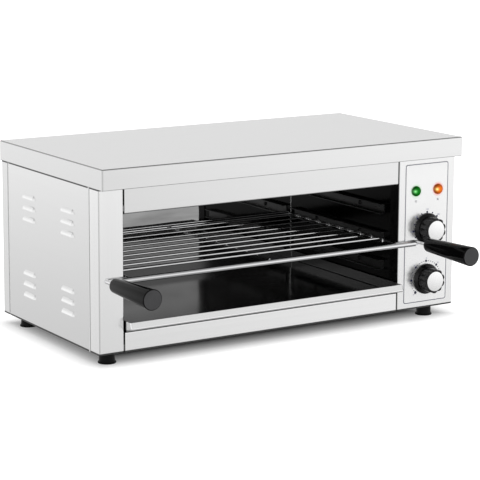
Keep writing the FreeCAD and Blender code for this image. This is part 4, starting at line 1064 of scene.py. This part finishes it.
class GRILL_OT_print(Operator):
    """Print the label: border, dial dots and numbers, and a plain symbol under each lamp"""
    bl_idname = "grill.print"
    bl_label = "Print"

    def execute(self, context):
        label, knob, look = context.scene.grill_label, context.scene.grill_knob, context.scene.grill_finish
        low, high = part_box("panel_label")
        self.level = low.y
        self.thickness = label.ink_thickness
        ink = printed("dial_ink", look.print_colour)
        loops = []
        for inset in (label.border_inset, label.border_inset + label.border_width):
            left, right, foot, top = low.x + inset, high.x - inset, low.z + inset, high.z - inset
            loops.append(rounded([(x, z, label.corner_radius - inset)
                                  for x, z in ((left, foot), (right, foot), (right, top), (left, top))]))
        self.add("label_border", flat_plate(loops, self.level, self.thickness),
                 printed("border_ink", look.border_colour))
        self.add("dial_dots", joined(self.dots(label, knob, ink)), ink)

        words = []
        for name, radius, start, step, numbers in (
                ("thermostat", label.thermostat_ring, knob.thermostat_off, THERMOSTAT_STEP, THERMOSTAT_NUMBERS),
                ("timer", label.timer_ring, knob.timer_off, TIMER_STEP, TIMER_NUMBERS)):
            centre = middle(name + "_knob")
            reach = radius + label.digit_offset
            for i, number in enumerate(numbers):
                angle = start + step * i
                spot = (centre.x + reach * math.sin(angle), centre.z + reach * math.cos(angle))
                words.append(word(str(number), label.digit_height, spot, self.level, self.thickness))
        self.add("dial_numbers", joined(words), printed("number_ink", look.number_colour))
        self.add("lamp_symbols", joined(self.symbols(label)), ink)
        return {"FINISHED"}

    def add(self, name, shape, ink):
        placed(finished(name, shape, ink), "casing")

    def dots(self, label, knob, ink):
        """Dots round the two dials, larger at the numbers than between them."""
        marks = ring_of_marks()
        thermostat, timer = knob.thermostat_off, knob.timer_off
        # Dial, number of dots, angle of the first, angle from one to the next, and their radius
        rings = [("thermostat", 7, thermostat, THERMOSTAT_STEP, 0.0017),
                 ("thermostat", 6, thermostat + THERMOSTAT_STEP / 2, THERMOSTAT_STEP, 0.0012),
                 ("timer", 1, timer, 0.0, 0.0024), ("timer", 6, timer + TIMER_STEP, TIMER_STEP, 0.0019)]
        rings += [("timer", 4, timer + TIMER_STEP * interval + MINUTE, MINUTE, 0.0008) for interval in range(6)]
        shapes = []
        for name, count, start, step, size in rings:
            centre = middle(name + "_knob")
            values = {"Centre": (centre.x, self.level - self.thickness / 2, centre.z), "Count": count,
                      "Ring radius": getattr(label, name + "_ring"), "Start": start, "Step": step,
                      "Mark radius": size, "Thickness": self.thickness, "Finish": ink}
            shapes.append(grown(linked("marks", bpy.data.meshes.new("marks")), marks, values))
        return shapes

    def symbols(self, label):
        """Power sign under the green lamp and three rising waves under the amber one."""
        size = label.symbol_size
        drop = Vector((0, label.symbol_drop))
        sign, heat = (middle(lamp).xz - drop for lamp in ("green_lamp_lens", "amber_lamp_lens"))
        gap, steps = math.radians(35), 28
        angles = [gap + (2 * math.pi - 2 * gap) * i / steps for i in range(steps + 1)]
        lines = [[sign + Vector((math.sin(angle), math.cos(angle))) * (size * 0.42) for angle in angles],
                 [sign + Vector((0, size * 0.1)), sign + Vector((0, size * 0.55))]]
        steps = 12
        for column in (-1, 0, 1):
            foot = heat + Vector((column * size * 0.36, -size * 0.45))
            lines.append([foot + Vector((math.sin(2 * math.pi * i / steps) * size * 0.09, size * 0.9 * i / steps))
                          for i in range(steps + 1)])
        return [stroke(line, size * 0.14, self.level, self.thickness) for line in lines]


class GRILL_OT_screws(Operator):
    """Make the pan-head screws of the shelf channels and of the casing, with their cross recesses"""
    bl_idname = "grill.screws"
    bl_label = "Screws"

    def execute(self, context):
        screw = context.scene.grill_screw
        wide = screw.head_diameter
        head = wide / 2
        self.tree = grid_of_copies()
        low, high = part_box("channel_screws")
        tiers = len([name for name in NODES if name.startswith("channel_left")])
        grid = {"Rows": tiers, "Row step": (0, 0, (high.z - low.z - wide) / (tiers - 1)), "Columns": 2,
                "Column step": (0, high.y - low.y - wide, 0)}
        self.keep("shelf_screws", dark_fastener(), "channel_screws", [
            {**grid, "First": (x, low.y + head, low.z + head), "Turn": (0, 0, turn)}
            for x, turn in ((low.x + screw.shank_length, 0.0), (high.x - screw.shank_length, math.pi))])

        low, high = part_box("casing_screws")
        step_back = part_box("hood_cover")[1].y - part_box("rear_panel")[1].y
        self.keep("body_screws", bright_fastener(), "casing_screws", [
            {"First": (low.x + head, high.y - screw.head_height - step_back, low.z + head), "Rows": 2,
             "Row step": (0, step_back, high.z - low.z - wide), "Columns": 3,
             "Column step": ((high.x - low.x - wide) / 2, 0, 0), "Turn": (0, 0, math.pi / 2)}])
        return {"FINISHED"}

    def keep(self, name, metal, node, grids):
        """Piece of all the screws on some grids."""
        shapes = [grown(linked("screw", self.screw()), self.tree, {**grid, "Finish": metal}) for grid in grids]
        placed(finished(name, joined(shapes), metal), "casing", node)

    def screw(self):
        """Screw with the seat of its head at the origin and its head towards +X."""
        screw = bpy.context.scene.grill_screw
        head, shank, tall = screw.head_diameter / 2, screw.shank_diameter / 2, screw.head_height
        tip_round, head_round = 0.0004, tall * 0.55
        profile = rounded([(-screw.shank_length, 0, 0), (-screw.shank_length, shank, tip_round), (0, shank, 0),
                           (0, head, 0), (tall, head, head_round), (tall, 0, 0)], segments=4)
        place = Matrix.Translation((tall, 0, 0))
        # The slots differ a little in depth, so that their floors don't lie on each other
        deep, shallow = 0.0016, 0.0015
        cross = joined([slab(deep, screw.recess_length, screw.recess_width, place),
                        slab(shallow, screw.recess_width, screw.recess_length, place)])
        return cut_away(turned(profile, Vector(), X_AXIS, steps=28), cross)


class GRILL_OT_seams(Operator):
    """Run a weld bead down the two rear corners of the grill space and a bright fold in the gaps beside each side
    panel"""
    bl_idname = "grill.seams"
    bl_label = "Liner seams"

    def execute(self, context):
        self.tree = bent_wires()
        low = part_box("cavity_back")[0]
        radius, foot = 0.0006, 0.004
        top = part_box("heat_reflector")[0].z
        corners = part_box("cavity_wall_left")[1].x + radius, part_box("cavity_wall_right")[0].x - radius
        self.beads("liner_seams", plain_metal("weld_bead", grey(0.75), 0.16, variation=0.3, scale=900), radius,
                   [[(x, low.y - radius, z) for z in (low.z + foot, top)] for x in corners])

        depth = 0.0007
        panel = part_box("left_side_panel")
        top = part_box("hood_cover")[0].z
        self.beads("side_folds", plain_metal("fold_steel", grey(0.95), 0.25), 0.0005,
                   [[(x, y, z) for z in (low.z, top)]
                    for x in (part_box("left_post")[0].x + depth, RIGHT_SKIN - depth)
                    for y in (panel[0].y - depth, panel[1].y + depth)])
        return {"FINISHED"}

    def beads(self, name, metal, radius, lines):
        """Piece of thin round beads along some lines."""
        section = {"Diameter": 2 * radius, "Sides": 10, "Finish": metal}
        shapes = [grown(route(line), self.tree, section) for line in lines]
        placed(finished(name, joined(shapes), metal), "casing")


# Stage

def floor_finish(colour, lift):
    """Pale floor that keeps the shadow, with a painted shadow under the casing's outline and white added where it is
    seen.
    """
    def build(tree):
        # Painted shadow: darker floor with no added white under the casing's outline, fading out just beyond it
        clear = ranged(tree, beyond_casing(tree), 0, 1, -0.05, 0.03)
        pale = mixed(tree, pattern(tree, 2, 2), scaled(colour, 0.99), colour)
        white = ranged(tree, tree.maths("MULTIPLY", in_sight(tree), clear), 0, lift, 0, 1)
        return {"Base Color": mixed(tree, clear, scaled(colour, 0.5), pale), "Roughness": 0.9,
                "Specular IOR Level": 0.0, "Emission Color": (1, 1, 1, 1), "Emission Strength": white}
    return finish("floor", build)


def beyond_casing(tree):
    """Distance outside the casing's outline on the floor, below 0 under the casing."""
    low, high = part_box("base_pan")
    centre, half = (low + high) / 2, (high - low) / 2
    spot = parts_of(tree, own_place(tree))
    return tree.largest([tree.maths("SUBTRACT", gap_from(tree, spot[axis], place), reach)
                         for axis, place, reach in (("X", centre.x, half.x), ("Y", centre.y, half.y))])


def studio(level):
    """World that lights evenly, is white to the camera and has a studio's slow changes of light in mirrors."""
    world = bpy.data.worlds.new("studio")
    world.use_nodes = True
    tree = Tree(world.node_tree)
    way = tree.add("ShaderNodeTexCoord").outputs["Generated"]
    bands = tree.add("ShaderNodeValToRGB", {"Fac": ranged(tree, parts_of(tree, way)["Z"], 0, 1, -1, 1)})
    ramp = bands.color_ramp
    ramp.interpolation = "EASE"
    for stop, _ in SKY_BANDS[1:-1]:
        ramp.elements.new(stop)
    for spot, (_, bright) in zip(ramp.elements, SKY_BANDS):
        spot.color = (*grey(bright), 1)
    mirrored = bands.outputs["Color"]
    for side, sweep in BRIGHT_SIDES:
        nearness = tree.vector("DOT_PRODUCT", way, side)
        mirrored = tree.maths("MULTIPLY", mirrored, ranged(tree, nearness, *sweep))
    glossy = tree.add("ShaderNodeLightPath").outputs["Is Glossy Ray"]
    plain = tree.make("ShaderNodeMix", {0: glossy, 2: level, 3: mirrored}, data_type="FLOAT")
    background = world.node_tree.nodes["Background"]
    tree.give(background.inputs["Color"], (1, 1, 1, 1))
    tree.give(background.inputs["Strength"], tree.maths("MAXIMUM", in_sight(tree), plain))
    return world


def softbox(name, place, aim, size, power):
    """Square area lamp that looks at a place."""
    lamp = bpy.data.lights.new(name, "AREA")
    lamp.size = size
    lamp.energy = power
    thing = linked(name, lamp)
    thing.location = place
    thing.rotation_euler = (Vector(place) - Vector(aim)).to_track_quat("Z", "Y").to_euler()
    thing.visible_camera = False
    thing.visible_glossy = False


class GRILL_OT_stage(Operator):
    """Make the floor, the lights and the camera"""
    bl_idname = "grill.stage"
    bl_label = "Stage"

    def execute(self, context):
        stage = context.scene.grill_stage
        half = stage.floor_size / 2
        build = bmesh.new()
        build.faces.new([build.verts.new((x, y, 0)) for x, y in ((-half, -half), (half, -half), (half, half),
                                                                 (-half, half))])
        floor = finished("studio_floor", to_mesh(build), floor_finish(stage.floor_colour, stage.floor_lift))
        floor.visible_glossy = False
        context.scene.world = studio(stage.sky_level)
        softbox("key_lamp", *KEY_LAMP, stage.key_power)
        softbox("top_lamp", *TOP_LAMP, stage.top_power)
        lens = bpy.data.cameras.new("camera")
        lens.lens = stage.camera_lens
        lens.shift_y = stage.camera_rise
        lens.clip_end = 50
        camera = linked("camera", lens)
        turn = Matrix.Rotation(-stage.camera_yaw, 4, "Z") @ Matrix.Rotation(math.pi / 2 - stage.camera_pitch, 4, "X")
        camera.matrix_world = (Matrix.Translation(stage.camera_place) @ turn
                               @ Matrix.Rotation(stage.camera_roll, 4, "Z"))
        context.scene.camera = camera
        context.scene.view_settings.view_transform = "Standard"
        return {"FINISHED"}


# Sidebar

class GRILL_PT_pieces(Panel):
    """Lists the pieces of the grill and their settings"""
    bl_idname = "GRILL_PT_pieces"
    bl_label = "Salamander grill"
    bl_space_type = "VIEW_3D"
    bl_region_type = "UI"
    bl_category = "Grill"

    def draw(self, context):
        for name, group in SETTINGS.items():
            box = self.layout.box()
            box.label(text=name.replace("grill_", "").capitalize())
            for setting in group.__annotations__:
                box.prop(getattr(context.scene, name), setting)
        for piece in PIECES:
            self.layout.operator(piece.bl_idname)


SETTINGS = {"grill_stage": StageSettings, "grill_finish": FinishSettings, "grill_rack": RackSettings,
            "grill_grip": GripSettings, "grill_knob": KnobSettings, "grill_label": LabelSettings,
            "grill_screw": ScrewSettings}
PIECES = (GRILL_OT_finishes, GRILL_OT_rack, GRILL_OT_grips, GRILL_OT_knobs, GRILL_OT_lamps, GRILL_OT_print,
          GRILL_OT_screws, GRILL_OT_seams, GRILL_OT_stage)


def register():
    for kind in (*SETTINGS.values(), *PIECES, GRILL_PT_pieces):
        bpy.utils.register_class(kind)
    for name, group in SETTINGS.items():
        setattr(bpy.types.Scene, name, PointerProperty(type=group))


def unregister():
    for name in SETTINGS:
        delattr(bpy.types.Scene, name)
    for kind in reversed((*SETTINGS.values(), *PIECES, GRILL_PT_pieces)):
        bpy.utils.unregister_class(kind)


def main():
    register()
    for piece in PIECES:
        group, name = piece.bl_idname.split(".")
        getattr(getattr(bpy.ops, group), name)()


if __name__ == "__main__":
    main()
